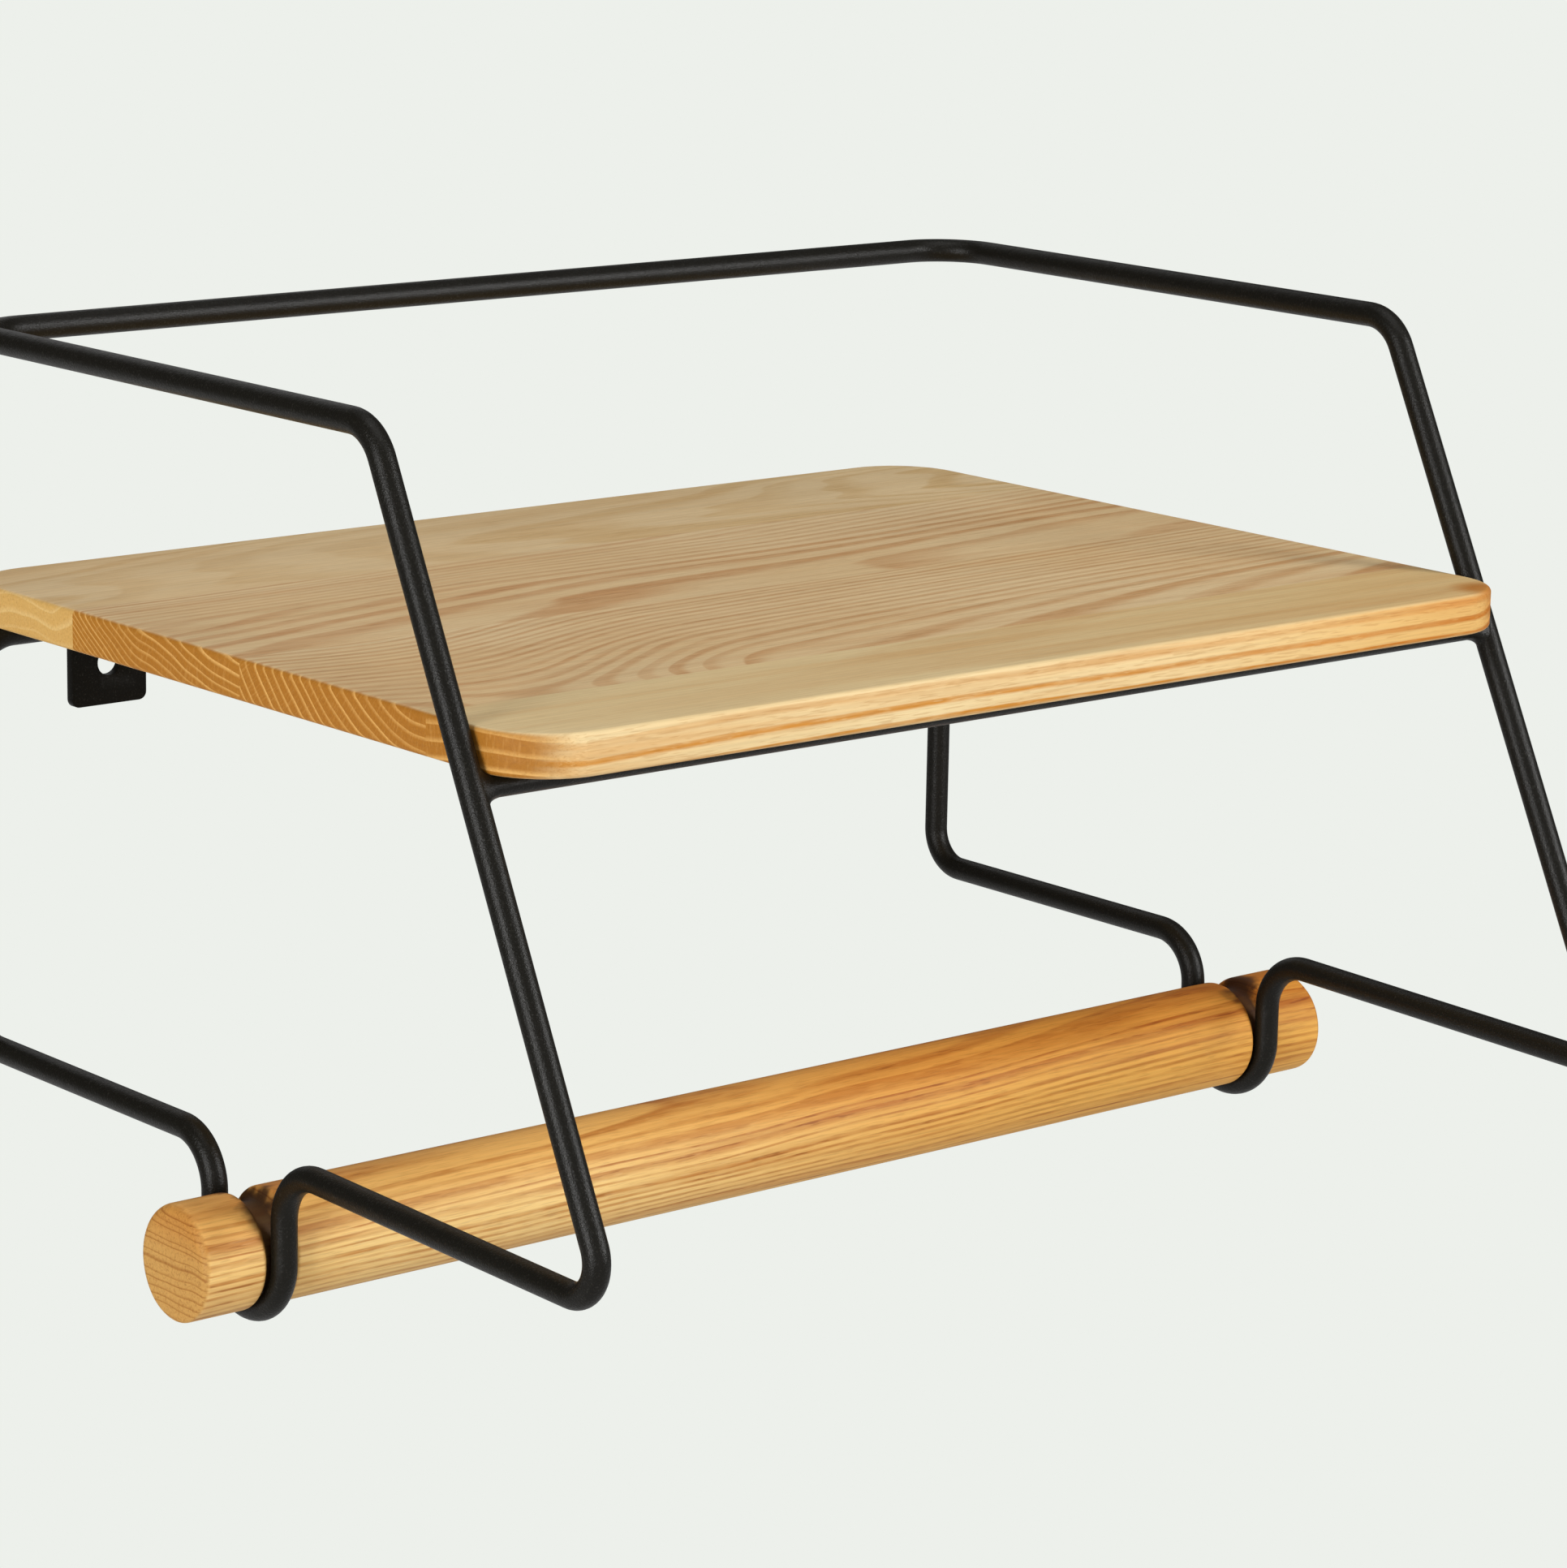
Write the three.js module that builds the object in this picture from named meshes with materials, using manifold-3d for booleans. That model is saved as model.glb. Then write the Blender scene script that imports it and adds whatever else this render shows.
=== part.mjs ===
// Wall shelf with a paper-roll bar: a wooden board carried in a bent steel rod frame whose side
// frames end in open cradles for a turned wooden bar.
// Millimetres, +Z up. The wall is the plane y = 0 and the shelf stands out towards -Y.
// The origin is on the wall, halfway between the two wall-screw holes.
import * as THREE from 'three';
import { mergeVertices } from 'three/addons/utils/BufferGeometryUtils.js';
import Module from 'manifold-3d';

const wasm = await Module();
wasm.setup();

// ---- driving dimensions ----
const CONTACT_GAP = 0.1; // left between faces that touch

// board
const BOARD_WIDTH = 298.5;
const BOARD_DEPTH = 223.5;
const BOARD_THICKNESS = 9.7;
const BOARD_CORNER_RADIUS = 18;
const BOARD_EDGE_ROUNDING = 1.2;
const BOARD_TOP_Z = 25.4;
const BOARD_WALL_GAP = 0.4;
const STAVE_DEPTHS = [52.6, 67.3, 68.7, 34.9]; // from the wall to the front edge
const GLUE_GAP = 0.1;

// steel rod frame
const ROD_DIAMETER = 6;
const FRONT_BAR_DIAMETER = 5;
const SIDE_FRAME_X = 152.4; // rod axis of each side frame
const BACK_Y = -12.7; // rod axis of everything along the wall
const RAIL_Z = 84.3; // gallery rail
const RUNNER_Z = -84.3; // bottom runners, from the wall to the cradles
const FOOT_Z = -86.8; // the front runners fall a little towards the foot
const LEG_TOP_Y = -174.5; // where the slanted leg meets the gallery rail
const FOOT_Y = -257.9; // where the slanted leg meets the runner
const RAIL_CORNER_RADIUS = 15;
const RAIL_FRONT_BEND_RADIUS = 12;
const FOOT_BEND_RADIUS = 8.5;
const POST_BEND_RADIUS = 10;
const POST_TOP_BEND_RADIUS = 12;
const CRADLE_BEND_RADIUS = 12.5;
const ROD_SIDES = 16;
const STEPS_PER_RIGHT_ANGLE = 6;
const FEWEST_BEND_STEPS = 3;

// roll bar
const ROLL_BAR_LENGTH = 345.6;
const ROLL_BAR_DIAMETER = 26.6;
const ROLL_BAR_Y = -127.8;
const ROLL_BAR_Z = -106.4;
const ROLL_BAR_END_ROUNDING = 2.5;
const NECK_RADIUS = 10.3; // groove floor, which rests in the cradle
const NECK_OUTSET = 0.2; // neck centre, outwards from its cradle
const NECK_WIDTH = 7.2; // floor and its sloping sides, up to the rounded shoulders
const NECK_ROUNDING = 1.5;
const NECK_SIDE_RUN = 1; // how far the floor stops short of each shoulder
const CRADLE_CLEARANCE = 0.3; // between a neck and its cradle
const ROLL_BAR_SIDES = 32;
const ROUNDING_STEPS = 3;

// wall brackets: a plate on the wall with a lip that reaches the rear bar
const BRACKET_X = 107;
const BRACKET_WIDTH = 21;
const BRACKET_THICKNESS = 2.5;
const BRACKET_BELOW_HOLE = 10.3;
const BRACKET_CORNER_RADIUS = 2;
const WALL_HOLE_DIAMETER = 6.5;

// shelf tabs and screws
const TAB_X = 88;
const TAB_WIDTH = 14;
const TAB_LENGTH = 13;
const TAB_THICKNESS = 1.5;
const TAB_HOLE_DIAMETER = 4.2;
const SCREW_DIAMETER = 3.4;
const SCREW_LENGTH = 8;
const SCREW_POINT_LENGTH = 2;
const SCREW_POINT_RADIUS = 0.3;
const SCREW_HEAD_DIAMETER = 7;
const SCREW_HEAD_HEIGHT = 2.2;
const SCREW_CROWN_HEIGHT = 1;
const SCREW_RECESS_WIDTH = 0.9;
const SCREW_RECESS_LENGTH = 3.8;
const SCREW_RECESS_DEPTH = 1.2;

// weld beads
const BEAD_RADIUS = 1.9;
const BEAD_INSET = 0.65; // bead axis to the two faces of its corner
const BEAD_SIDES = 12;
const BEAD_SHORTER = 2; // a bead stops this far from each end of its plate
const COLLAR_REACH = 7; // from the leg's axis along the front bar
const COLLAR_SPREAD = 1.6;
const COLLAR_THIN_EDGE = 0.4;
const COLLAR_CUT = 1.2; // the collar starts this far from the leg's axis
const COLLAR_STEPS = 4;

const CUTTER_SIZE = 400; // a cutting block reaches past every piece

// ---- derived sizes ----
const ROD_RADIUS = ROD_DIAMETER / 2;
const FRONT_BAR_RADIUS = FRONT_BAR_DIAMETER / 2;
const BOARD_BOTTOM_Z = BOARD_TOP_Z - BOARD_THICKNESS;
const REAR_BAR_Z = BOARD_BOTTOM_Z - ROD_RADIUS - CONTACT_GAP;
const FRONT_BAR_Z = BOARD_BOTTOM_Z - FRONT_BAR_RADIUS - CONTACT_GAP;
const LEG_SLOPE = (FOOT_Y - LEG_TOP_Y) / (FOOT_Z - RAIL_Z);
const FRONT_BAR_Y = LEG_TOP_Y + (FRONT_BAR_Z - RAIL_Z) * LEG_SLOPE;
const CRADLE_RADIUS = NECK_RADIUS + CRADLE_CLEARANCE + ROD_RADIUS; // rod axis around the neck
const CRADLE_BOTTOM_Z = ROLL_BAR_Z - CRADLE_RADIUS;
const CRADLE_FRONT_Y = ROLL_BAR_Y - CRADLE_RADIUS;
const CRADLE_REAR_Y = ROLL_BAR_Y + CRADLE_RADIUS;
const TAB_Z = BOARD_BOTTOM_Z - CONTACT_GAP - TAB_THICKNESS / 2;
const BRACKET_TOP_Z = REAR_BAR_Z + BRACKET_THICKNESS / 2; // the lip is level with the rear bar

// ---- materials ----
const material = (color, roughness, metalness) =>
  new THREE.MeshStandardMaterial({ color, roughness, metalness });
const powderCoat = () => material(0x1e1c1a, 0.5, 0.1);
const blackenedScrew = () => material(0x2a2927, 0.35, 0.8);
const boardWood = () => material(0xc9ae80, 0.6, 0);
const barWood = () => material(0xc98f45, 0.55, 0);

// ---- solids ----
function closedSurface(geometry) {
  geometry.deleteAttribute('normal');
  geometry.deleteAttribute('uv');
  return mergeVertices(geometry, 1e-4);
}

// A solid that other solids can be joined to or cut by.
function toSolid(geometry) {
  const surface = closedSurface(geometry);
  const mesh = new wasm.Mesh({
    numProp: 3,
    vertProperties: new Float32Array(surface.attributes.position.array),
    triVerts: new Uint32Array(surface.index.array),
  });
  return new wasm.Manifold(mesh);
}

function toGeometry(solid) {
  const mesh = solid.getMesh();
  const geometry = new THREE.BufferGeometry();
  geometry.setAttribute('position', new THREE.BufferAttribute(new Float32Array(mesh.vertProperties), 3));
  geometry.setIndex(new THREE.BufferAttribute(new Uint32Array(mesh.triVerts), 1));
  geometry.computeVertexNormals();
  return geometry;
}

function part(name, geometry, material, position = [0, 0, 0]) {
  const mesh = new THREE.Mesh(geometry, material);
  mesh.name = name;
  mesh.position.set(...position);
  return mesh;
}

const box = (width, depth, height, x = 0, y = 0, z = 0) =>
  new THREE.BoxGeometry(width, depth, height).translate(x, y, z);

const cylinderAlongX = (radius, length, sides = ROD_SIDES) =>
  new THREE.CylinderGeometry(radius, radius, length, sides).rotateZ(Math.PI / 2);

const cylinderAlongZ = (radius, length, sides = ROD_SIDES) =>
  new THREE.CylinderGeometry(radius, radius, length, sides).rotateX(Math.PI / 2);

// A cutting block on one side of the plane axis = level: beyond it where direction is 1, before it
// where direction is -1.
function beyondPlane(axis, level, direction) {
  const centre = { x: 0, y: 0, z: 0, [axis]: level + (direction * CUTTER_SIZE) / 2 };
  return toSolid(box(CUTTER_SIZE, CUTTER_SIZE, CUTTER_SIZE, centre.x, centre.y, centre.z));
}

// ---- bent rod ----
// The centre line of a rod through a list of corners, each rounded to its own bend radius. It has
// one station at each end of a straight and evenly spaced stations round each bend.
class RodCentreLine extends THREE.Curve {
  constructor(corners, radii) {
    super();
    this.stations = [];
    corners.forEach((corner, i) => {
      if (i === 0 || i === corners.length - 1) {
        const other = corners[i === 0 ? 1 : i - 1];
        const tangent = (i === 0 ? other.clone().sub(corner) : corner.clone().sub(other)).normalize();
        this.addStation(corner, tangent);
      } else {
        this.addBend(corners[i - 1], corner, corners[i + 1], radii[i - 1]);
      }
    });
  }

  addStation(point, tangent) {
    const last = this.stations.at(-1);
    if (!last || last.point.distanceTo(point) > 1e-3) this.stations.push({ point, tangent });
  }

  addBend(before, corner, after, radius) {
    const into = corner.clone().sub(before).normalize();
    const out = after.clone().sub(corner).normalize();
    const turn = into.angleTo(out);
    const axis = new THREE.Vector3().crossVectors(into, out).normalize();
    const start = corner.clone().addScaledVector(into, -radius * Math.tan(turn / 2));
    const centre = start.clone().addScaledVector(new THREE.Vector3().crossVectors(axis, into), radius);
    const spoke = start.sub(centre);
    const steps = Math.max(FEWEST_BEND_STEPS, Math.round((STEPS_PER_RIGHT_ANGLE * turn) / (Math.PI / 2)));
    for (let i = 0; i <= steps; i++) {
      const angle = (turn * i) / steps;
      const point = spoke.clone().applyAxisAngle(axis, angle).add(centre);
      this.addStation(point, into.clone().applyAxisAngle(axis, angle));
    }
  }

  at(t) {
    return this.stations[Math.round(t * (this.stations.length - 1))];
  }

  getPoint(t) {
    return this.at(t).point.clone();
  }

  getTangent(t) {
    return this.at(t).tangent.clone();
  }

  getPointAt(u) {
    return this.getPoint(u);
  }

  getTangentAt(u) {
    return this.getTangent(u);
  }
}

// The distance from a corner to where its bend begins.
function bendReach(before, corner, after, radius) {
  const turn = corner.clone().sub(before).angleTo(after.clone().sub(corner));
  return radius * Math.tan(turn / 2);
}

// The point on the straight from a corner towards another, just past the corner's bend.
const beyond = (corner, towards, reach) =>
  corner.clone().addScaledVector(towards.clone().sub(corner).normalize(), reach + CONTACT_GAP / 2);

function rod(corners, radii = [], radius = ROD_RADIUS) {
  const line = new RodCentreLine(corners, radii);
  const section = new THREE.Shape().absarc(0, 0, radius, 0, Math.PI * 2);
  return new THREE.ExtrudeGeometry(section, {
    steps: line.stations.length - 1,
    curveSegments: ROD_SIDES / 2, // a full circle takes two sides for each
    extrudePath: line,
    bevelEnabled: false,
  });
}

// ---- one side frame, in its own plane x = 0 ----
// inward is +1 or -1, the direction along X that points to the middle of the shelf.
function sideFrame(side, inward) {
  const at = (y, z, x = 0) => new THREE.Vector3(x, y, z);
  const railBack = at(BACK_Y, RAIL_Z);
  const railFront = at(LEG_TOP_Y, RAIL_Z);
  const foot = at(FOOT_Y, FOOT_Z);
  const cradleFront = at(CRADLE_FRONT_Y, RUNNER_Z);
  const cradleRear = at(CRADLE_REAR_Y, RUNNER_Z);
  const postFoot = at(BACK_Y, RUNNER_Z);
  const postTop = at(BACK_Y, REAR_BAR_Z);
  const barInward = at(BACK_Y, REAR_BAR_Z, inward * SIDE_FRAME_X);
  const cradleFrontLow = at(CRADLE_FRONT_Y, CRADLE_BOTTOM_Z);

  const railReach = bendReach(railBack, railFront, foot, RAIL_FRONT_BEND_RADIUS);
  const footReach = bendReach(railFront, foot, cradleFront, FOOT_BEND_RADIUS);
  const cradleReach = bendReach(foot, cradleFront, cradleFrontLow, CRADLE_BEND_RADIUS);

  const pieces = {
    rail: rod(
      [beyond(railBack, railFront, RAIL_CORNER_RADIUS), railFront, beyond(railFront, foot, railReach)],
      [RAIL_FRONT_BEND_RADIUS],
    ),
    leg: rod(
      [beyond(railFront, foot, railReach + CONTACT_GAP), foot, beyond(foot, cradleFront, footReach)],
      [FOOT_BEND_RADIUS],
    ),
    runner_front: rod([
      beyond(foot, cradleFront, footReach + CONTACT_GAP),
      beyond(cradleFront, foot, cradleReach + CONTACT_GAP),
    ]),
    cradle: rod(
      [
        beyond(cradleFront, foot, cradleReach),
        cradleFront,
        cradleFrontLow,
        at(CRADLE_REAR_Y, CRADLE_BOTTOM_Z),
        cradleRear,
        beyond(cradleRear, postFoot, CRADLE_BEND_RADIUS),
      ],
      [CRADLE_BEND_RADIUS, CRADLE_RADIUS, CRADLE_RADIUS, CRADLE_BEND_RADIUS],
    ),
    runner_rear: rod(
      [
        beyond(cradleRear, postFoot, CRADLE_BEND_RADIUS + CONTACT_GAP),
        postFoot,
        beyond(postFoot, postTop, POST_BEND_RADIUS),
      ],
      [POST_BEND_RADIUS],
    ),
    post: rod(
      [
        beyond(postFoot, postTop, POST_BEND_RADIUS + CONTACT_GAP),
        postTop,
        beyond(postTop, barInward, POST_TOP_BEND_RADIUS),
      ],
      [POST_TOP_BEND_RADIUS],
    ),
  };
  const group = new THREE.Group();
  for (const [name, geometry] of Object.entries(pieces)) {
    group.add(part(`${name}_${side}`, geometry, powderCoat()));
  }
  return group;
}

// ---- the rods that join the two side frames ----
function backRail() {
  const at = (x, y) => new THREE.Vector3(x, y, RAIL_Z);
  const corners = [at(-SIDE_FRAME_X, BACK_Y), at(SIDE_FRAME_X, BACK_Y)];
  const ends = [at(-SIDE_FRAME_X, LEG_TOP_Y), at(SIDE_FRAME_X, LEG_TOP_Y)];
  const reach = RAIL_CORNER_RADIUS - CONTACT_GAP;
  const path = [beyond(corners[0], ends[0], reach), ...corners, beyond(corners[1], ends[1], reach)];
  return part('rail_back', rod(path, [RAIL_CORNER_RADIUS, RAIL_CORNER_RADIUS]), powderCoat());
}

function rearBar() {
  const endGap = 1.5 * CONTACT_GAP; // the post's own end stops half a gap past its bend
  const length = 2 * (SIDE_FRAME_X - POST_TOP_BEND_RADIUS - endGap);
  return part('bar_rear', cylinderAlongX(ROD_RADIUS, length), powderCoat(), [0, BACK_Y, REAR_BAR_Z]);
}

function frontBar() {
  const length = 2 * (SIDE_FRAME_X - ROD_RADIUS - CONTACT_GAP);
  const geometry = cylinderAlongX(FRONT_BAR_RADIUS, length);
  return part('bar_front', geometry, powderCoat(), [0, FRONT_BAR_Y, FRONT_BAR_Z]);
}

// ---- weld where the front bar meets a leg: a flared collar round the bar ----
// Its origin is where the two axes cross, and inward is the direction along X to the bar's middle.
function barCollar(inward) {
  const inner = FRONT_BAR_RADIUS + CONTACT_GAP;
  const profile = [new THREE.Vector2(inner, 0)];
  for (let i = 0; i <= COLLAR_STEPS; i++) {
    const along = i / COLLAR_STEPS;
    const radius = inner + COLLAR_THIN_EDGE + COLLAR_SPREAD * (1 - along) ** 2;
    profile.push(new THREE.Vector2(radius, COLLAR_REACH * along));
  }
  profile.push(new THREE.Vector2(inner, COLLAR_REACH), new THREE.Vector2(inner, 0));
  const ring = new THREE.LatheGeometry(profile, ROD_SIDES).rotateZ((-inward * Math.PI) / 2);

  const alongLeg = (z) => new THREE.Vector3(0, z * LEG_SLOPE, z);
  const leg = rod([alongLeg(-COLLAR_REACH * 2), alongLeg(COLLAR_REACH * 2)], [], ROD_RADIUS + CONTACT_GAP);
  const boardSide = SIDE_FRAME_X - BOARD_WIDTH / 2 - CONTACT_GAP;
  const underBoard = beyondPlane('z', FRONT_BAR_RADIUS, 1).intersect(
    beyondPlane('x', inward * boardSide, inward),
  );
  const solid = toSolid(ring)
    .subtract(toSolid(leg))
    .subtract(beyondPlane('x', inward * COLLAR_CUT, -inward))
    .subtract(underBoard);
  return toGeometry(solid);
}

// ---- wall bracket ----
// The bracket's plate seen from the front, with its origin at the screw hole.
function bracketOutline(top) {
  const half = BRACKET_WIDTH / 2;
  const r = BRACKET_CORNER_RADIUS;
  const bottom = -BRACKET_BELOW_HOLE;
  const shape = new THREE.Shape();
  shape.moveTo(half, top);
  shape.lineTo(-half, top);
  shape.lineTo(-half, bottom + r);
  shape.absarc(-half + r, bottom + r, r, Math.PI, 1.5 * Math.PI);
  shape.absarc(half - r, bottom + r, r, 1.5 * Math.PI, 2 * Math.PI);
  shape.lineTo(half, top);
  shape.holes.push(new THREE.Path().absarc(0, 0, WALL_HOLE_DIAMETER / 2, 0, 2 * Math.PI, true));
  return shape;
}

function wallBracket() {
  const lipReach = -(BACK_Y + ROD_RADIUS) - CONTACT_GAP;
  const blank = new THREE.ExtrudeGeometry(bracketOutline(BRACKET_TOP_Z), {
    depth: lipReach,
    curveSegments: 6,
    bevelEnabled: false,
  }).rotateX(Math.PI / 2);
  const openCorner = beyondPlane('y', -BRACKET_THICKNESS, -1).intersect(
    beyondPlane('z', BRACKET_TOP_Z - BRACKET_THICKNESS, -1),
  );
  return toGeometry(toSolid(blank).subtract(openCorner));
}

// ---- shelf tab, its screw and its bead ----
function shelfTab() {
  const plate = toSolid(box(TAB_WIDTH, TAB_LENGTH, TAB_THICKNESS));
  const hole = toSolid(cylinderAlongZ(TAB_HOLE_DIAMETER / 2, TAB_THICKNESS * 2));
  return toGeometry(plate.subtract(hole));
}

// A pan-head screw pointing up, with its origin under the tab where the head bears.
function shelfScrew() {
  const head = SCREW_HEAD_DIAMETER / 2;
  const shank = SCREW_DIAMETER / 2;
  const profile = [
    [0, -SCREW_HEAD_HEIGHT],
    [head * 0.6, -SCREW_HEAD_HEIGHT],
    [head * 0.9, -SCREW_HEAD_HEIGHT + SCREW_CROWN_HEIGHT / 2],
    [head, -SCREW_HEAD_HEIGHT + SCREW_CROWN_HEIGHT],
    [head, 0],
    [shank, 0],
    [shank, SCREW_LENGTH - SCREW_POINT_LENGTH],
    [SCREW_POINT_RADIUS, SCREW_LENGTH],
    [0, SCREW_LENGTH],
  ].map(([r, z]) => new THREE.Vector2(r, z));
  let solid = toSolid(new THREE.LatheGeometry(profile, ROD_SIDES).rotateX(Math.PI / 2));
  for (const [width, depth] of [
    [SCREW_RECESS_LENGTH, SCREW_RECESS_WIDTH],
    [SCREW_RECESS_WIDTH, SCREW_RECESS_LENGTH],
  ]) {
    const slot = box(width, depth, SCREW_RECESS_DEPTH * 2, 0, 0, -SCREW_HEAD_HEIGHT);
    solid = solid.subtract(toSolid(slot));
  }
  return toGeometry(solid);
}

// A bead along X in the corner between a rod, whose axis is the origin, and the underside of a
// plate that stands against it. forward is the direction along Y from the rod to the plate.
function cornerBead(plateWidth, barRadius, forward, plateBottom) {
  const length = plateWidth - 2 * BEAD_SHORTER;
  const run = cylinderAlongX(BEAD_RADIUS, length, BEAD_SIDES);
  run.translate(0, forward * (barRadius + BEAD_INSET), plateBottom - BEAD_INSET);
  const bar = cylinderAlongX(barRadius + CONTACT_GAP, length * 2);
  const plate = beyondPlane('z', plateBottom - CONTACT_GAP, 1);
  return toGeometry(toSolid(run).subtract(toSolid(bar)).subtract(plate));
}

// ---- board ----
function boardOutline() {
  const x = BOARD_WIDTH / 2 - BOARD_EDGE_ROUNDING;
  const y = BOARD_DEPTH / 2 - BOARD_EDGE_ROUNDING;
  const r = BOARD_CORNER_RADIUS - BOARD_EDGE_ROUNDING;
  return new THREE.Shape()
    .absarc(x - r, y - r, r, 0, 0.5 * Math.PI)
    .absarc(-x + r, y - r, r, 0.5 * Math.PI, Math.PI)
    .absarc(-x + r, -y + r, r, Math.PI, 1.5 * Math.PI)
    .absarc(x - r, -y + r, r, 1.5 * Math.PI, 2 * Math.PI);
}

function board(screwSpots) {
  const blank = new THREE.ExtrudeGeometry(boardOutline(), {
    depth: BOARD_THICKNESS - 2 * BOARD_EDGE_ROUNDING,
    curveSegments: 4,
    bevelThickness: BOARD_EDGE_ROUNDING,
    bevelSize: BOARD_EDGE_ROUNDING,
    bevelSegments: 2,
  }).translate(0, 0, -BOARD_THICKNESS + BOARD_EDGE_ROUNDING);
  const centreY = -BOARD_WALL_GAP - BOARD_DEPTH / 2;
  let solid = toSolid(blank);
  for (const [x, y] of screwSpots) {
    const pilot = cylinderAlongZ(SCREW_DIAMETER / 2 + CONTACT_GAP, SCREW_LENGTH * 2);
    pilot.translate(x, y - centreY, -BOARD_THICKNESS - TAB_THICKNESS);
    solid = solid.subtract(toSolid(pilot));
  }
  const group = new THREE.Group();
  group.position.set(0, centreY, BOARD_TOP_Z);
  let back = BOARD_DEPTH / 2;
  STAVE_DEPTHS.forEach((depth, i) => {
    const slab = box(BOARD_WIDTH * 2, depth - GLUE_GAP, BOARD_THICKNESS * 4, 0, back - depth / 2);
    group.add(part(`shelf_stave_${i + 1}`, toGeometry(solid.intersect(toSolid(slab))), boardWood()));
    back -= depth;
  });
  return group;
}

// ---- roll bar: a turned dowel with a neck over each cradle ----
function rollBar() {
  const profile = [];
  const add = (radius, x) => profile.push(new THREE.Vector2(radius, x));
  // A quarter round on an edge of the bar: outward is 1 where it faces the +X end, -1 where it
  // faces the middle.
  const roundedEdge = (edgeX, rounding, outward) => {
    for (let i = 0; i <= ROUNDING_STEPS; i++) {
      const angle = (Math.PI / 2) * (outward > 0 ? 1 - i / ROUNDING_STEPS : i / ROUNDING_STEPS);
      add(
        ROLL_BAR_DIAMETER / 2 - rounding * (1 - Math.cos(angle)),
        edgeX - outward * rounding * (1 - Math.sin(angle)),
      );
    }
  };
  // from the +X end to the middle, then mirrored
  const end = ROLL_BAR_LENGTH / 2;
  const neckX = SIDE_FRAME_X + NECK_OUTSET;
  const shoulder = NECK_WIDTH / 2;
  const floor = shoulder - NECK_SIDE_RUN;
  add(0, end);
  roundedEdge(end, ROLL_BAR_END_ROUNDING, 1);
  roundedEdge(neckX + shoulder, NECK_ROUNDING, -1);
  add(NECK_RADIUS, neckX + floor);
  add(NECK_RADIUS, neckX - floor);
  roundedEdge(neckX - shoulder, NECK_ROUNDING, 1);
  const mirrored = profile.map((p) => new THREE.Vector2(p.x, -p.y)).reverse();
  const lathe = new THREE.LatheGeometry([...profile, ...mirrored].reverse(), ROLL_BAR_SIDES);
  return part('roll_bar', lathe.rotateZ(-Math.PI / 2), barWood(), [0, ROLL_BAR_Y, ROLL_BAR_Z]);
}

// ---- the whole shelf ----
const shelf = new THREE.Group();
const frame = new THREE.Group();
shelf.add(frame);

const sides = { left: -1, right: 1 };
const bars = {
  front: { y: FRONT_BAR_Y, z: FRONT_BAR_Z, radius: FRONT_BAR_RADIUS, forward: 1 },
  rear: { y: BACK_Y, z: REAR_BAR_Z, radius: ROD_RADIUS, forward: -1 },
};

frame.add(backRail(), rearBar(), frontBar());
for (const [side, sign] of Object.entries(sides)) {
  const sideGroup = sideFrame(side, -sign);
  sideGroup.position.x = sign * SIDE_FRAME_X;
  const bracketBead = cornerBead(BRACKET_WIDTH, ROD_RADIUS, 1, -BRACKET_THICKNESS / 2);
  const collarAt = [sign * SIDE_FRAME_X, FRONT_BAR_Y, FRONT_BAR_Z];
  const beadAt = [sign * BRACKET_X, BACK_Y, REAR_BAR_Z];
  frame.add(
    sideGroup,
    part(`weld_bar_front_${side}`, barCollar(-sign), powderCoat(), collarAt),
    part(`wall_bracket_${side}`, wallBracket(), powderCoat(), [sign * BRACKET_X, 0, 0]),
    part(`weld_wall_bracket_${side}`, bracketBead, powderCoat(), beadAt),
  );
}

const screwSpots = [];
for (const [place, bar] of Object.entries(bars)) {
  for (const [side, sign] of Object.entries(sides)) {
    const x = sign * TAB_X;
    const tabY = bar.y + bar.forward * (bar.radius + CONTACT_GAP + TAB_LENGTH / 2);
    const tabBottom = TAB_Z - TAB_THICKNESS / 2;
    const tabBead = cornerBead(TAB_WIDTH, bar.radius, bar.forward, tabBottom - bar.z);
    const tag = `${place}_${side}`;
    frame.add(
      part(`shelf_tab_${tag}`, shelfTab(), powderCoat(), [x, tabY, TAB_Z]),
      part(`weld_shelf_tab_${tag}`, tabBead, powderCoat(), [x, bar.y, bar.z]),
    );
    const screwAt = [x, tabY, tabBottom - CONTACT_GAP];
    shelf.add(part(`shelf_screw_${tag}`, shelfScrew(), blackenedScrew(), screwAt));
    screwSpots.push([x, tabY]);
  }
}
shelf.add(board(screwSpots), rollBar());

export default shelf;
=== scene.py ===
import math

import bmesh
import bpy
from mathutils import Matrix, Vector, noise


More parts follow.
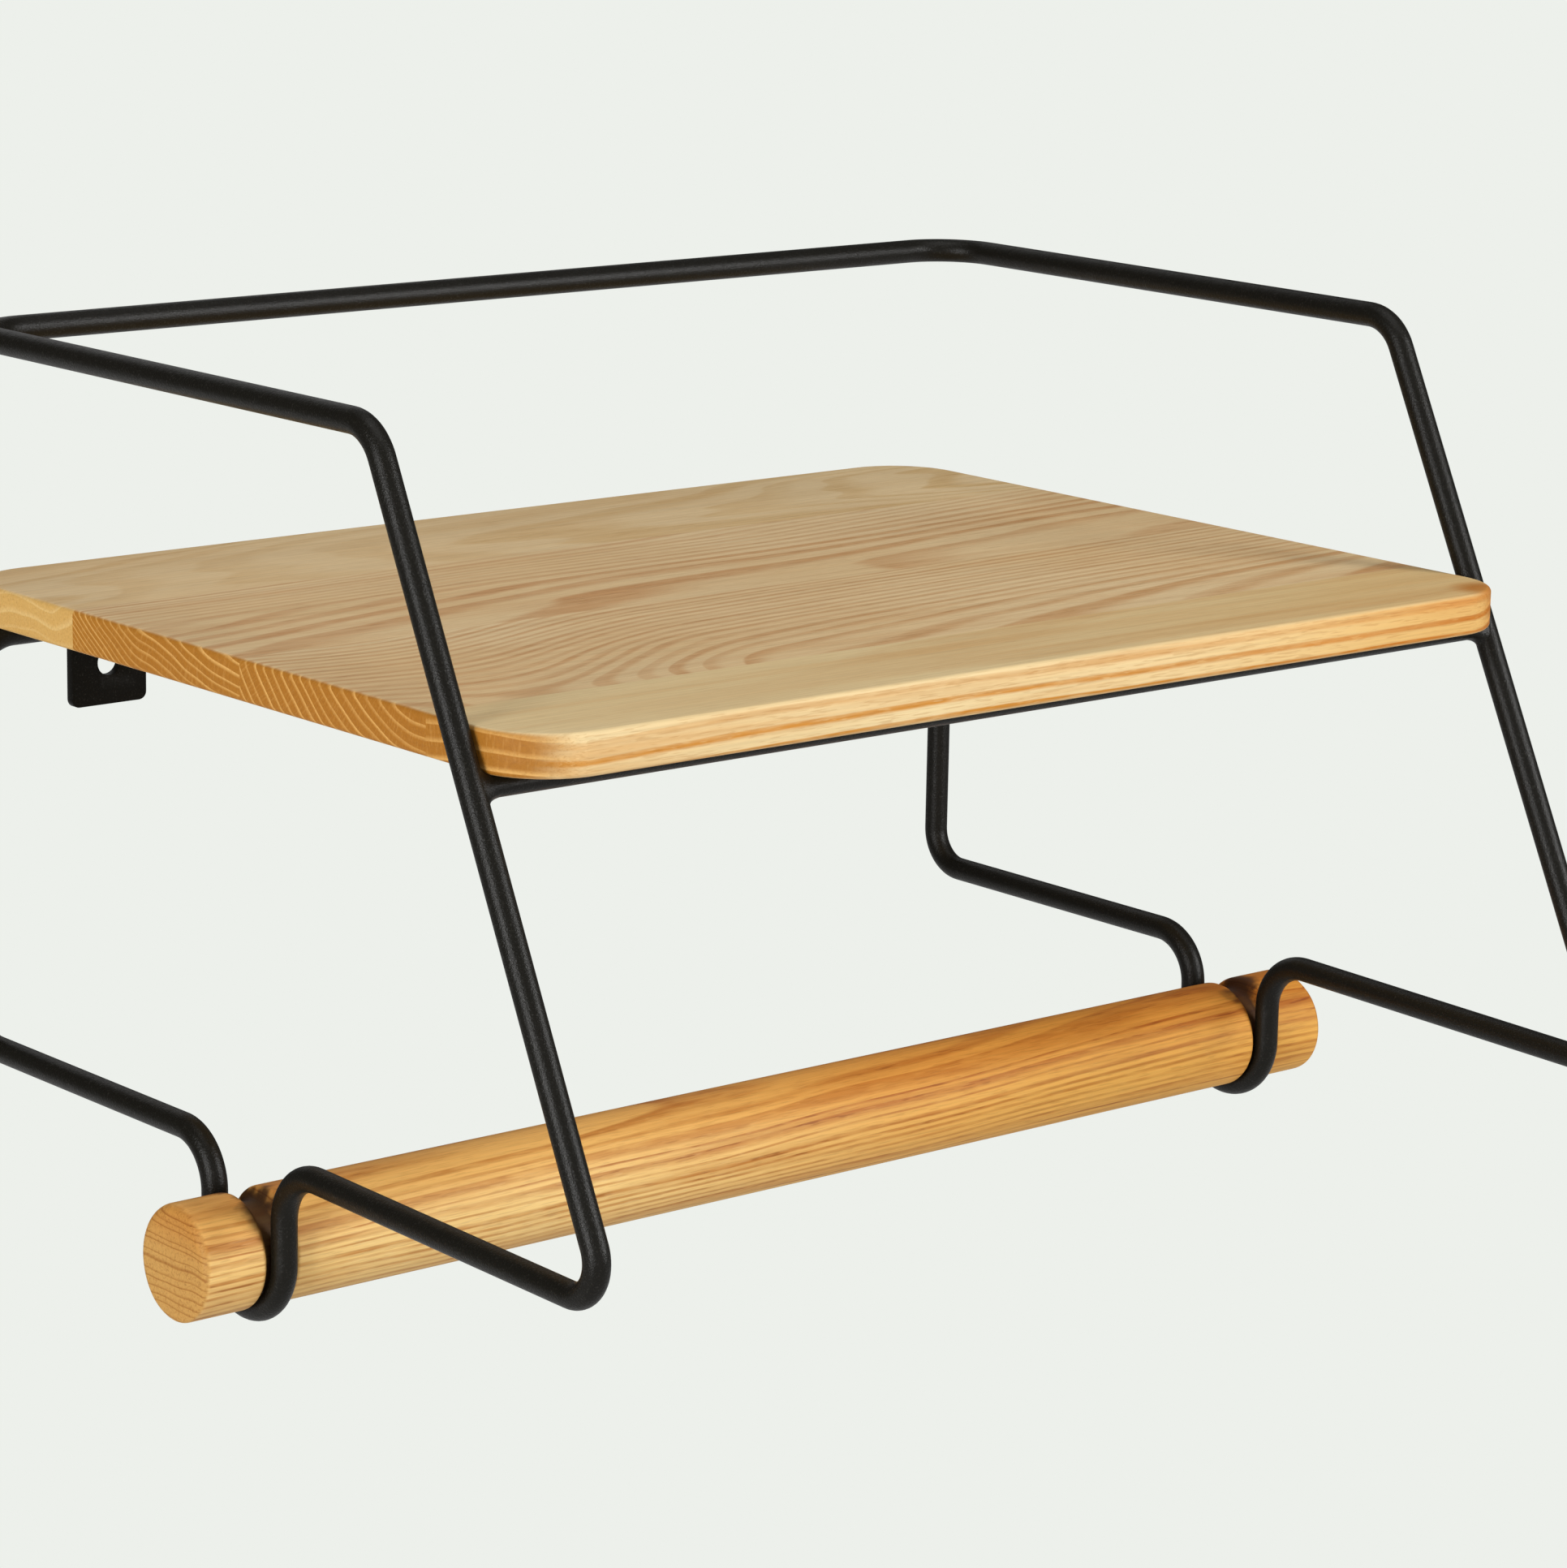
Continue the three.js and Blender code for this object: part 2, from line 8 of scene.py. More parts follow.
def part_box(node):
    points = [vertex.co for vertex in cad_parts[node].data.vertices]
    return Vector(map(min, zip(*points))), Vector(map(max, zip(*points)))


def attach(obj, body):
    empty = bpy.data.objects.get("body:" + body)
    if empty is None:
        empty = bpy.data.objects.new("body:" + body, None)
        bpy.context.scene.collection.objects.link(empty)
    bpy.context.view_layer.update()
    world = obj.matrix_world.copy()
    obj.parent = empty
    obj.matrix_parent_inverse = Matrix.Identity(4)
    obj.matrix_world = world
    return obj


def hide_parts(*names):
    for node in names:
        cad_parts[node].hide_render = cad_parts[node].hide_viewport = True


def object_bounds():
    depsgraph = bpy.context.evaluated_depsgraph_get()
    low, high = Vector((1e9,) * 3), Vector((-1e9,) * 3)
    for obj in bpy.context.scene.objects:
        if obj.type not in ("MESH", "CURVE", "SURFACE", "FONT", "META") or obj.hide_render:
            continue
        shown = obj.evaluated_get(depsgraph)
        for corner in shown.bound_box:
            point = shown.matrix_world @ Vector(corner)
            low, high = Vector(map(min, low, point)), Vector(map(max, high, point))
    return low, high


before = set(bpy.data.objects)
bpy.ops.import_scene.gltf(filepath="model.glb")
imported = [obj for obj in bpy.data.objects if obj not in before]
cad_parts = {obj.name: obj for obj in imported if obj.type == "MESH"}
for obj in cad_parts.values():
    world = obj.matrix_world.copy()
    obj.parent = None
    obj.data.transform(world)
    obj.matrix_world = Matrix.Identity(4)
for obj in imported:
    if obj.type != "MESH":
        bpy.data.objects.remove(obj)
cad_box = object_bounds()

# Looks of a wall shelf: a bent rod frame with two wall brackets, a board of four glued staves and
# a turned bar for a roll of paper. Metres; the wall is y = 0 and the shelf stands out towards -Y.

MM = 0.001
X, Y, Z = range(3)
TURN = 2 * math.pi
SIDES = {"left": -1, "right": 1}


# ---- sizes read from the frame ----
def corners(node):
    """The low and the high corner of a node's box."""
    low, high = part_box(node)
    return Vector(low), Vector(high)


def size(node, axis):
    low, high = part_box(node)
    return high[axis] - low[axis]


def middle(node):
    low, high = corners(node)
    return (low + high) / 2


ROD_RADIUS = size("bar_rear", Y) / 2
SIDE_X = middle("rail_right").x
RAIL_Z = middle("rail_back").z
REAR_BAR = middle("bar_rear")
FRONT_BAR = middle("bar_front")
FRONT_BAR_RADIUS = size("bar_front", Y) / 2
ROLL_BAR = middle("roll_bar")
ROLL_BAR_RADIUS = size("roll_bar", Z) / 2
ROLL_BAR_HALF = size("roll_bar", X) / 2
RUNNER_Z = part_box("cradle_left")[1][Z] - ROD_RADIUS
CRADLE_BOTTOM_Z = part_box("cradle_left")[0][Z] + ROD_RADIUS
CRADLE_RADIUS = ROLL_BAR.z - CRADLE_BOTTOM_Z
BOARD_LOW = corners("shelf_stave_4")[0]
BOARD_HIGH = corners("shelf_stave_1")[1]
STAVES = (1, 2, 3, 4)

# ---- sizes that the frame's boxes don't give ----
LEG_TOP_Y = -174.5 * MM  # where the leg's line meets the gallery rail's
FOOT_Y = -257.87 * MM  # where the leg's line meets the front runner's
FOOT_Z = -86.8 * MM
RAIL_CORNER_BEND = 15 * MM
RAIL_FRONT_BEND = 12 * MM
FOOT_BEND = 8.5 * MM
POST_BEND = 10 * MM
POST_TOP_BEND = 12 * MM
CRADLE_BEND = 12.5 * MM
BEND_STEP = math.radians(5)
LEAST_BEND_STEPS = 4
LEAST_ROD_STEP = 0.05 * MM  # points of the path closer than this are one point
ROD_SIDES = 32
FRONT_BAR_SIDES = 24
FRONT_BAR_STEPS = 24

FILLET_REACH = 4.6 * MM  # along the front bar
FILLET_SPREAD = 2.6 * MM  # over the leg, outside the front bar
FILLET_UNEVENNESS = 0.22
FILLET_LUMPS = 1.7
FILLET_SEED = 7
FILLET_SINK = 0.15 * MM  # how deep its rim sinks into the leg
FILLET_WRAP = 0.96  # how far round the leg it may reach, as a share of the leg's radius
FILLET_END = 0.97  # radius of its end on the bar, as a share of the bar's
FILLET_SIDES = 48
FILLET_RINGS = 11

BEAD_RADIUS = 1.55 * MM
BEAD_OFFSET = 0.4 * MM  # of its middle from the corner that it fills
BEAD_RIPPLE = 0.9 * MM
RIPPLE_HEIGHT = 0.07
RIPPLE_STEPS = 6
BEAD_UNEVENNESS = 0.08
BEAD_LUMPS = 400  # a metre
BEAD_SEEDS = 90, 3
BEAD_BLUNTNESS = 0.05  # how blunt its ends are, from 0 for round ones
BEAD_SIDES = 20

BRACKET_OUTER_BEND = 3 * MM
BRACKET_INNER_BEND = 0.6 * MM
BRACKET_THICKNESS = 2.5 * MM
BRACKET_CORNER = 2 * MM
BRACKET_BEND_STEPS = 8
WALL_HOLE_RADIUS = 3.25 * MM
WALL_HOLE_SIDES = 40
TAB_CORNER = 2.2 * MM
TAB_HOLE_RADIUS = 2.1 * MM
TAB_HOLE_SIDES = 32
EDGE_BREAK = 0.25 * MM  # broken edges of the wall brackets
TAB_EDGE_BREAK = 0.2 * MM

SCREW_HEAD_HEIGHT = 2.2 * MM
SCREW_DOME_HEIGHT = 1.25 * MM
SCREW_DOME_POWER = 1.1
SCREW_DOME_STEPS = 8
SCREW_POINT = 2.4 * MM
SCREW_TIP = 0.04  # how blunt its point is, as a share of the shank
SCREW_PITCH = 1.4 * MM
SCREW_CORE = 1.15 * MM
SCREW_THREAD = 0.52 * MM
SCREW_SIDES = 28
SCREW_STEPS = 72
RECESS_SIZE = Vector((4.0, 0.95, 2.6)) * MM
RECESS_TAPER = 0.62
RECESS_TURN = 0.4  # radians

BOARD_CORNER_RADIUS = 18 * MM
BOARD_EDGE_ROUNDING = 1.2 * MM
BOARD_SUPPORT_BAND = 0.8 * MM  # flat band inside the rounding that keeps the shading flat
CORNER_STEPS = 14
EDGE_STEPS = 5

NECK_X = SIDE_X + 0.2 * MM
NECK_RADIUS = 10.3 * MM
NECK_HALF = 3.6 * MM
NECK_ROUNDING = 1.5 * MM
NECK_FLARE = 1.4 * MM  # from a neck's shoulder to its full depth
SHOULDER_STEPS = 6
RIM_CRISP = 1.1 * MM
RIM_SOFTER = 2.1 * MM  # added where a rim is softest
RIM_UNEVENNESS = 0.5 * MM
RIM_SOFTEST = 1.1  # radians from the back upwards
RIM_LUMPS = 1.5
RIM_DEPTH = 0.9  # of the rounding along the bar, as a share of its radius
RIM_STEPS = 7
END_FACE_STEPS = 5
BAR_SIDES = 96
BAR_WOBBLE = 0.06 * MM
BAR_LUMPS = 14  # a metre
BAR_UNDERSIZE = 0.036 * MM


# ---- meshes ----
def smooth(mesh, angle=35):
    """Shades a mesh smooth, but for edges sharper than the angle in degrees."""
    mesh.shade_smooth()
    mesh.set_sharp_from_angle(angle=math.radians(angle))


def finished(name, bm, smooth_angle=35):
    """Turns a bmesh into an object of that name."""
    bmesh.ops.recalc_face_normals(bm, faces=bm.faces)
    mesh = bpy.data.meshes.new(name)
    bm.to_mesh(mesh)
    bm.free()
    smooth(mesh, smooth_angle)
    piece = bpy.data.objects.new(name, mesh)
    bpy.context.scene.collection.objects.link(piece)
    return piece


def skin(bm, rings, close_rings=False, caps=False):
    """Joins rings of equal length with quads. caps closes the two ends with a fan each."""
    rows = [[bm.verts.new(p) for p in ring] for ring in rings]
    count = len(rows[0])
    following = rows[1:] + rows[:1] if close_rings else rows[1:]
    for a, b in zip(rows, following):
        for i in range(count):
            j = (i + 1) % count
            bm.faces.new((a[i], a[j], b[j], b[i]))
    if caps:
        for row in (rows[0], rows[-1]):
            centre = bm.verts.new(sum((v.co for v in row), Vector()) / count)
            for i in range(count):
                bm.faces.new((row[i], row[(i + 1) % count], centre))


def circle(count, radius=1.0):
    """Points (u, v) round a circle about the origin."""
    angles = [TURN * i / count for i in range(count)]
    return [(radius * math.cos(a), radius * math.sin(a)) for a in angles]


def quarter(steps):
    """Angles over a quarter turn, from 0 up."""
    return [TURN / 4 * i / steps for i in range(steps + 1)]


def modified(piece):
    """Applies a piece's modifiers to its mesh."""
    graph = bpy.context.evaluated_depsgraph_get()
    mesh = bpy.data.meshes.new_from_object(piece.evaluated_get(graph))
    piece.modifiers.clear()
    old, piece.data = piece.data, mesh
    bpy.data.meshes.remove(old)
    mesh.name = piece.name
    smooth(mesh)
    return piece


def cut(piece, tool, operation="DIFFERENCE"):
    """Cuts a piece with another object, which is used up."""
    change = piece.modifiers.new("cut", "BOOLEAN")
    change.object, change.operation, change.solver = tool, operation, "EXACT"
    modified(piece)
    bpy.data.objects.remove(tool)
    return piece


def broken_edges(piece, width):
    """Bevels a sheet-metal part's sharp edges."""
    bevel = piece.modifiers.new("bevel", "BEVEL")
    bevel.width, bevel.segments = width, 2
    bevel.limit_method, bevel.angle_limit = "ANGLE", math.radians(40)
    return modified(piece)


def perforated(name, outline, hole, depth_axis, start, depth):
    """A plate from an outline with a hole, both lists of (u, v), swept along an axis."""
    bm = bmesh.new()
    edges = []
    for loop in (outline, hole):
        verts = []
        for u, v in loop:
            point = [u, v]
            point.insert(depth_axis, start)
            verts.append(bm.verts.new(point))
        edges += [bm.edges.new((verts[i - 1], verts[i])) for i in range(len(verts))]
    flat = bmesh.ops.triangle_fill(bm, use_beauty=True, edges=edges)["geom"]
    faces = [g for g in flat if isinstance(g, bmesh.types.BMFace)]
    extruded = bmesh.ops.extrude_face_region(bm, geom=faces)["geom"]
    shift = Vector((0, 0, 0))
    shift[depth_axis] = depth
    moved = [g for g in extruded if isinstance(g, bmesh.types.BMVert)]
    bmesh.ops.translate(bm, verts=moved, vec=shift)
    return finished(name, bm)


def rounded_rectangle(low, high, radius, steps=6):
    """Points round a rectangle between two (u, v) corners, counter-clockwise."""
    points = []
    centres = [
        (high[0] - radius, high[1] - radius),
        (low[0] + radius, high[1] - radius),
        (low[0] + radius, low[1] + radius),
        (high[0] - radius, low[1] + radius),
    ]
    for turns, (u, v) in enumerate(centres):
        for i in range(steps + 1):
            angle = (turns + i / steps) * TURN / 4
            points.append((u + radius * math.cos(angle), v + radius * math.sin(angle)))
    return points


# ---- bent rod ----
def bend(before, corner, after, radius):
    """Points round a bend at a corner, from the end of one straight to the start of the next."""
    into, out = (corner - before).normalized(), (after - corner).normalized()
    turn = into.angle(out)
    axis = into.cross(out).normalized()
    start = corner - into * radius * math.tan(turn / 2)
    centre = start + axis.cross(into) * radius
    steps = max(LEAST_BEND_STEPS, round(turn / BEND_STEP))
    spoke = start - centre
    return [centre + Matrix.Rotation(turn * i / steps, 3, axis) @ spoke for i in range(steps + 1)]


def swept_loop(name, path, radius, sides):
    """A closed tube round a closed path. The twist that is left over is spread along it."""
    count = len(path)
    tangents = [(path[(i + 1) % count] - path[i - 1]).normalized() for i in range(count)]
    normal = tangents[0].orthogonal().normalized()
    normals = [normal]
    for i in range(1, count + 1):
        turn = tangents[i - 1].rotation_difference(tangents[i % count])
        normal = (turn @ normal).normalized()
        normals.append(normal)
    last = normals.pop()
    twist = math.atan2(last.cross(normals[0]).dot(tangents[0]), last.dot(normals[0]))
    bm = bmesh.new()
    rings = []
    for i, point in enumerate(path):
        side = Matrix.Rotation(twist * i / count, 3, tangents[i]) @ normals[i]
        other = tangents[i].cross(side)
        rings.append([point + side * u + other * v for u, v in circle(sides, radius)])
    skin(bm, rings, close_rings=True)
    return finished(name, bm)


def side_corners(sign):
    """One side frame's corners and bend radii, from the rear bar round to the gallery rail."""
    def at(y, z):
        return Vector((sign * SIDE_X, y, z))

    front, rear = ROLL_BAR.y - CRADLE_RADIUS, ROLL_BAR.y + CRADLE_RADIUS
    return [
        (at(REAR_BAR.y, REAR_BAR.z), POST_TOP_BEND),
        (at(REAR_BAR.y, RUNNER_Z), POST_BEND),
        (at(rear, RUNNER_Z), CRADLE_BEND),
        (at(rear, CRADLE_BOTTOM_Z), CRADLE_RADIUS),
        (at(front, CRADLE_BOTTOM_Z), CRADLE_RADIUS),
        (at(front, RUNNER_Z), CRADLE_BEND),
        (at(FOOT_Y, FOOT_Z), FOOT_BEND),
        (at(LEG_TOP_Y, RAIL_Z), RAIL_FRONT_BEND),
        (at(REAR_BAR.y, RAIL_Z), RAIL_CORNER_BEND),
    ]


def rod_loop():
    """The whole bent rod: both side frames, the rear bar between them and the gallery rail."""
    stops = side_corners(1) + side_corners(-1)[::-1]
    path = []
    for i, (corner, radius) in enumerate(stops):
        before, after = stops[i - 1][0], stops[(i + 1) % len(stops)][0]
        for point in bend(before, corner, after, radius):
            if not path or (point - path[-1]).length > LEAST_ROD_STEP:
                path.append(point)
    return swept_loop("rod_loop", path, ROD_RADIUS, ROD_SIDES)


def front_bar():
    """The straight bar between the legs. Its ends are hidden inside them."""
    end = Vector((SIDE_X - ROD_RADIUS / 2, FRONT_BAR.y, FRONT_BAR.z))
    start = Vector((-end.x, end.y, end.z))
    along = (end - start).normalized()
    side = along.orthogonal().normalized()
    other = along.cross(side)
    section = [side * u + other * v for u, v in circle(FRONT_BAR_SIDES, FRONT_BAR_RADIUS)]
    centres = [start.lerp(end, i / FRONT_BAR_STEPS) for i in range(FRONT_BAR_STEPS + 1)]
    bm = bmesh.new()
    skin(bm, [[centre + p for p in section] for centre in centres], caps=True)
    return finished("front_bar", bm)


# ---- welds ----
def bar_weld(name, sign):
    """The fillet where the front bar runs into a leg, a little uneven as laid by hand. Curves run
    from the leg's skin, by way of the corner, to the bar's skin, and each ring is a step along them."""
    leg = Vector((0, LEG_TOP_Y - FOOT_Y, RAIL_Z - FOOT_Z)).normalized()
    inward = Vector((-sign, 0, 0))
    cross = leg.cross(inward).normalized()
    crossing = Vector((sign * SIDE_X, FRONT_BAR.y, FRONT_BAR.z))
    limit = FILLET_WRAP * ROD_RADIUS
    curves = []
    for c, s in circle(FILLET_SIDES):
        lump = noise.noise(Vector((c, s, FILLET_SEED * sign)) * FILLET_LUMPS)
        uneven = 1 + FILLET_UNEVENNESS * lump
        radial = leg * c + cross * s
        wide = radial * (FRONT_BAR_RADIUS + FILLET_SPREAD * uneven)
        sideways = max(-limit, min(limit, wide.dot(cross)))
        depth = math.sqrt(ROD_RADIUS**2 - sideways**2)
        on_leg = leg * wide.dot(leg) + cross * sideways + inward * (depth - FILLET_SINK)
        near = radial * FRONT_BAR_RADIUS
        corner_depth = math.sqrt(ROD_RADIUS**2 - near.dot(cross) ** 2)
        corner = near + inward * corner_depth
        on_bar = near * FILLET_END + inward * (corner_depth + FILLET_REACH * uneven)
        curves.append((on_leg, corner, on_bar))
    rings = []
    for k in range(FILLET_RINGS):
        t = k / (FILLET_RINGS - 1)
        rings.append([
            crossing + start * (1 - t) ** 2 + corner * 2 * t * (1 - t) + end * t**2
            for start, corner, end in curves
        ])
    bm = bmesh.new()
    skin(bm, rings, caps=True)
    return finished(name, bm, smooth_angle=60)


def corner_weld(name, node, rod, rod_radius):
    """A rippled bead in the corner between a rod along X and the underside of a plate."""
    low, high = corners(node)
    toward = 1 if (low.y + high.y) / 2 > rod.y else -1
    centre_y, centre_z = rod.y + toward * (rod_radius + BEAD_OFFSET), high.z - BEAD_OFFSET
    rings = []
    steps = round((high.x - low.x) / BEAD_RIPPLE) * RIPPLE_STEPS
    for i in range(steps + 1):
        x = low.x + (high.x - low.x) * i / steps
        end = min(1.0, min(x - low.x, high.x - x) / BEAD_RADIUS + BEAD_BLUNTNESS)
        swell = math.sqrt(max(0.0, 1 - (1 - end) ** 2))
        wave = 1 + RIPPLE_HEIGHT * (1 - abs(math.sin(math.pi * (x - low.x) / BEAD_RIPPLE)))
        lump = noise.noise(Vector((x * BEAD_LUMPS, rod.z * BEAD_SEEDS[0], BEAD_SEEDS[1])))
        radius = BEAD_RADIUS * swell * wave * (1 + BEAD_UNEVENNESS * lump)
        rings.append([Vector((x, centre_y + u, centre_z + v)) for u, v in circle(BEAD_SIDES, radius)])
    bm = bmesh.new()
    skin(bm, rings, caps=True)
    return finished(name, bm, smooth_angle=50)


# ---- sheet metal and screws ----
def bracket_profile(low, high):
    """(y, z) round a wall bracket's section: upright on the wall, with a lip forward at its top."""
    def arc(y, z, radius, turns):
        return [(y + radius * math.cos(TURN * t), z + radius * math.sin(TURN * t)) for t in turns]

    t, inner, outer = BRACKET_THICKNESS, BRACKET_INNER_BEND, BRACKET_OUTER_BEND
    turns = [0.25 * i / BRACKET_BEND_STEPS for i in range(BRACKET_BEND_STEPS + 1)]
    return [
        (high.y, low.z),
        *arc(high.y - outer, high.z - outer, outer, turns),
        (low.y, high.z),
        (low.y, high.z - t),
        *arc(high.y - t - inner, high.z - t - inner, inner, turns[::-1]),
        (high.y - t, low.z),
    ]


def wall_bracket(name, node):
    """A plate on the wall, bent forward at the top into a lip that meets the rear bar."""
    low, high = corners(node)
    profile = bracket_profile(low, high)
    bm = bmesh.new()
    rows = [[bm.verts.new((x, y, z)) for y, z in profile] for x in (low.x, high.x)]
    for i in range(len(profile)):
        bm.faces.new((rows[0][i - 1], rows[0][i], rows[1][i], rows[1][i - 1]))
    for row in rows:
        bm.faces.new(row)
    bent = finished(name, bm)
    outline = rounded_rectangle((low.x, low.z), (high.x, high.z + 2 * BRACKET_CORNER), BRACKET_CORNER)
    hole = [((low.x + high.x) / 2 + u, v) for u, v in circle(WALL_HOLE_SIDES, WALL_HOLE_RADIUS)]
    cookie = perforated(name + "_outline", outline, hole, Y, low.y - MM, high.y - low.y + 2 * MM)
    return broken_edges(cut(bent, cookie, "INTERSECT"), EDGE_BREAK)


def shelf_tab(name, node):
    low, high = corners(node)
    centre = (low + high) / 2
    outline = rounded_rectangle((low.x, low.y), (high.x, high.y), TAB_CORNER)
    hole = [(centre.x + u, centre.y + v) for u, v in circle(TAB_HOLE_SIDES, TAB_HOLE_RADIUS)]
    plate = perforated(name, outline, hole, Z, low.z, high.z - low.z)
    return broken_edges(plate, TAB_EDGE_BREAK)


def screw_rings(low, high):
    """Rings from below a screw's domed head up along its thread to its point."""
    centre = (low + high) / 2
    head, shank_low = (high.x - low.x) / 2, low.z + SCREW_HEAD_HEIGHT
    dome = [
        (head * math.sin(a), low.z + SCREW_DOME_HEIGHT * (1 - math.cos(a)) ** SCREW_DOME_POWER)
        for a in quarter(SCREW_DOME_STEPS)[1:]
    ]
    rings = [
        [Vector((centre.x + u, centre.y + v, z)) for u, v in circle(SCREW_SIDES, radius)]
        for radius, z in [*dome, (head, shank_low)]
    ]
    for i in range(SCREW_STEPS + 1):
        z = shank_low + (high.z - shank_low) * i / SCREW_STEPS
        taper = min(1.0, (high.z - z) / SCREW_POINT + SCREW_TIP)
        ring = []
        for c, s in circle(SCREW_SIDES):
            wound = ((z - shank_low) / SCREW_PITCH - math.atan2(s, c) / TURN) % 1.0
            ridge = max(0.0, 1 - abs(wound - 0.5) * 4)
            radius = (SCREW_CORE + SCREW_THREAD * ridge) * taper
            ring.append(Vector((centre.x + radius * c, centre.y + radius * s, z)))
        rings.append(ring)
    return rings


def wood_screw(name, node):
    """A pan-head screw with a cross recess below and a thread that winds up to its point."""
    low, high = corners(node)
    bm = bmesh.new()
    skin(bm, screw_rings(low, high), caps=True)
    screw = finished(name, bm, smooth_angle=40)
    mouth = Vector(((low.x + high.x) / 2, (low.y + high.y) / 2, low.z))
    for turns in (0, 0.25):
        slot = bmesh.new()
        bmesh.ops.create_cube(slot, size=1)
        for v in slot.verts:
            taper = RECESS_TAPER if v.co.z > 0 else 1.0
            v.co = v.co * RECESS_SIZE * Vector((taper, taper, 1))
        spin = Matrix.Rotation(TURN * turns + RECESS_TURN, 4, "Z")
        bmesh.ops.transform(slot, matrix=spin, verts=slot.verts)
        bmesh.ops.translate(slot, vec=mouth, verts=slot.verts)
        cut(screw, finished(name + "_slot", slot))
    return screw


# ---- board ----
def board_levels():
    """(inset, height) of the board's outline from its underside to its top, round both edges."""
    e, low, high = BOARD_EDGE_ROUNDING, BOARD_LOW.z, BOARD_HIGH.z
    angles = quarter(EDGE_STEPS)
    return [
        (e + BOARD_SUPPORT_BAND, low),
        *((e * (1 - math.sin(a)), low + e * (1 - math.cos(a))) for a in angles),
        *((e * (1 - math.cos(a)), high - e * (1 - math.sin(a))) for a in angles),
        (e + BOARD_SUPPORT_BAND, high),
    ]


def board_slab():
    """The board in one piece, before it is sawn."""
    low, high = BOARD_LOW, BOARD_HIGH
    bm = bmesh.new()
    rows = []
    for inset, z in board_levels():
        inner_low, inner_high = (low.x + inset, low.y + inset), (high.x - inset, high.y - inset)
        outline = rounded_rectangle(inner_low, inner_high, BOARD_CORNER_RADIUS - inset, CORNER_STEPS)
        rows.append([bm.verts.new((x, y, z)) for x, y in outline])
    for a, b in zip(rows, rows[1:]):
        for i in range(len(a)):
            bm.faces.new((a[i - 1], a[i], b[i], b[i - 1]))
    bm.faces.new(rows[0])
    bm.faces.new(rows[-1])
    return bm


def board_staves():
    """The board's slab sawn into its staves, from the one at the wall to the front one."""
    whole = board_slab()
    boxes = [corners(f"shelf_stave_{i}") for i in STAVES]
    joints = [(back[0].y + front[1].y) / 2 for back, front in zip(boxes, boxes[1:])]
    fences = [BOARD_HIGH.y + MM, *joints, BOARD_LOW.y - MM]
    staves = []
    for i, back, front in zip(STAVES, fences, fences[1:]):
        bm = whole.copy()
        for level, direction in ((back, 1), (front, -1)):
            geometry = [*bm.verts, *bm.edges, *bm.faces]
            sawn = bmesh.ops.bisect_plane(
                bm, geom=geometry, plane_co=(0, level, 0), plane_no=(0, direction, 0), clear_outer=True
            )["geom_cut"]
            edges = [g for g in sawn if isinstance(g, bmesh.types.BMEdge)]
            if edges:
                bmesh.ops.edgenet_fill(bm, edges=edges)
        staves.append(finished(f"stave_{i}", bm, smooth_angle=40))
    whole.free()
    return staves


# ---- roll bar ----
def rim_radius(angle, end):
    """Rounding of the rim at one end: softest between its top and back, crispest in front."""
    soft = 0.5 + 0.5 * math.cos(angle - RIM_SOFTEST)
    uneven = noise.noise(Vector((math.cos(angle), math.sin(angle), end)) * RIM_LUMPS)
    return RIM_CRISP + RIM_SOFTER * soft + RIM_UNEVENNESS * uneven


def shoulder(outward):
    """(radius, distance from the middle) into a neck, over its outer or inner shoulder."""
    edge = NECK_X + outward * NECK_HALF
    return [
        (
            ROLL_BAR_RADIUS - NECK_ROUNDING * (1 - math.cos(a)),
            edge + outward * NECK_ROUNDING * (1 - math.sin(a)),
        )
        for a in quarter(SHOULDER_STEPS)
    ]


def half_profile(angle, end):
    """(radius, distance from the middle) from one end's centre to the bar's middle."""
    full, half, rim = ROLL_BAR_RADIUS, ROLL_BAR_HALF, rim_radius(angle, end)
    end_face = [((full - rim) * (k + 1) / END_FACE_STEPS, half) for k in range(END_FACE_STEPS)]
    rounding = [
        (full - rim * (1 - math.sin(a)), half - rim * (1 - math.cos(a)) * RIM_DEPTH)
        for a in quarter(RIM_STEPS)[1:]
    ]
    outside = NECK_X + NECK_HALF + NECK_ROUNDING
    cap = [(full, outside + (half - NECK_X) * share) for share in (0.5, 0.2)]
    neck = [(NECK_RADIUS, NECK_X + sign * (NECK_HALF - NECK_FLARE)) for sign in (1, -1)]
    inside = [(full, NECK_X * share) for share in (0.9, 0.7, 0.5, 0.3, 0.12)]
    centre = [(full * 0.03, half)]
    return [*centre, *end_face, *rounding, *cap, *shoulder(1), *neck, *shoulder(-1)[::-1], *inside]


def turned_bar():
    """A dowel with a neck over each cradle. Each rim is rounded by hand, unevenly round the bar."""
    angles = [TURN * i / BAR_SIDES for i in range(BAR_SIDES)]
    rings = []
    for end in (1, -1):
        stations = list(zip(*(half_profile(a, end) for a in angles)))
        for station in stations[::end]:
            ring = []
            for angle, (radius, along) in zip(angles, station):
                x, c, s = end * along, math.cos(angle), math.sin(angle)
                wobble = BAR_WOBBLE * noise.noise(Vector((x * BAR_LUMPS, c, s))) - BAR_UNDERSIZE
                radius += wobble * radius / ROLL_BAR_RADIUS
                ring.append(ROLL_BAR + Vector((x, radius * c, radius * s)))
            rings.append(ring)
    bm = bmesh.new()
    skin(bm, rings, caps=True)
    return finished("turned_bar", bm, smooth_angle=50)


# ---- materials ----
def srgb(red, green, blue):
    """A colour given in eight-bit display values, as linear light."""
    def linear(value):
        return value / 12.92 if value <= 0.04045 else ((value + 0.055) / 1.055) ** 2.4

    return (*(linear(v / 255) for v in (red, green, blue)), 1.0)


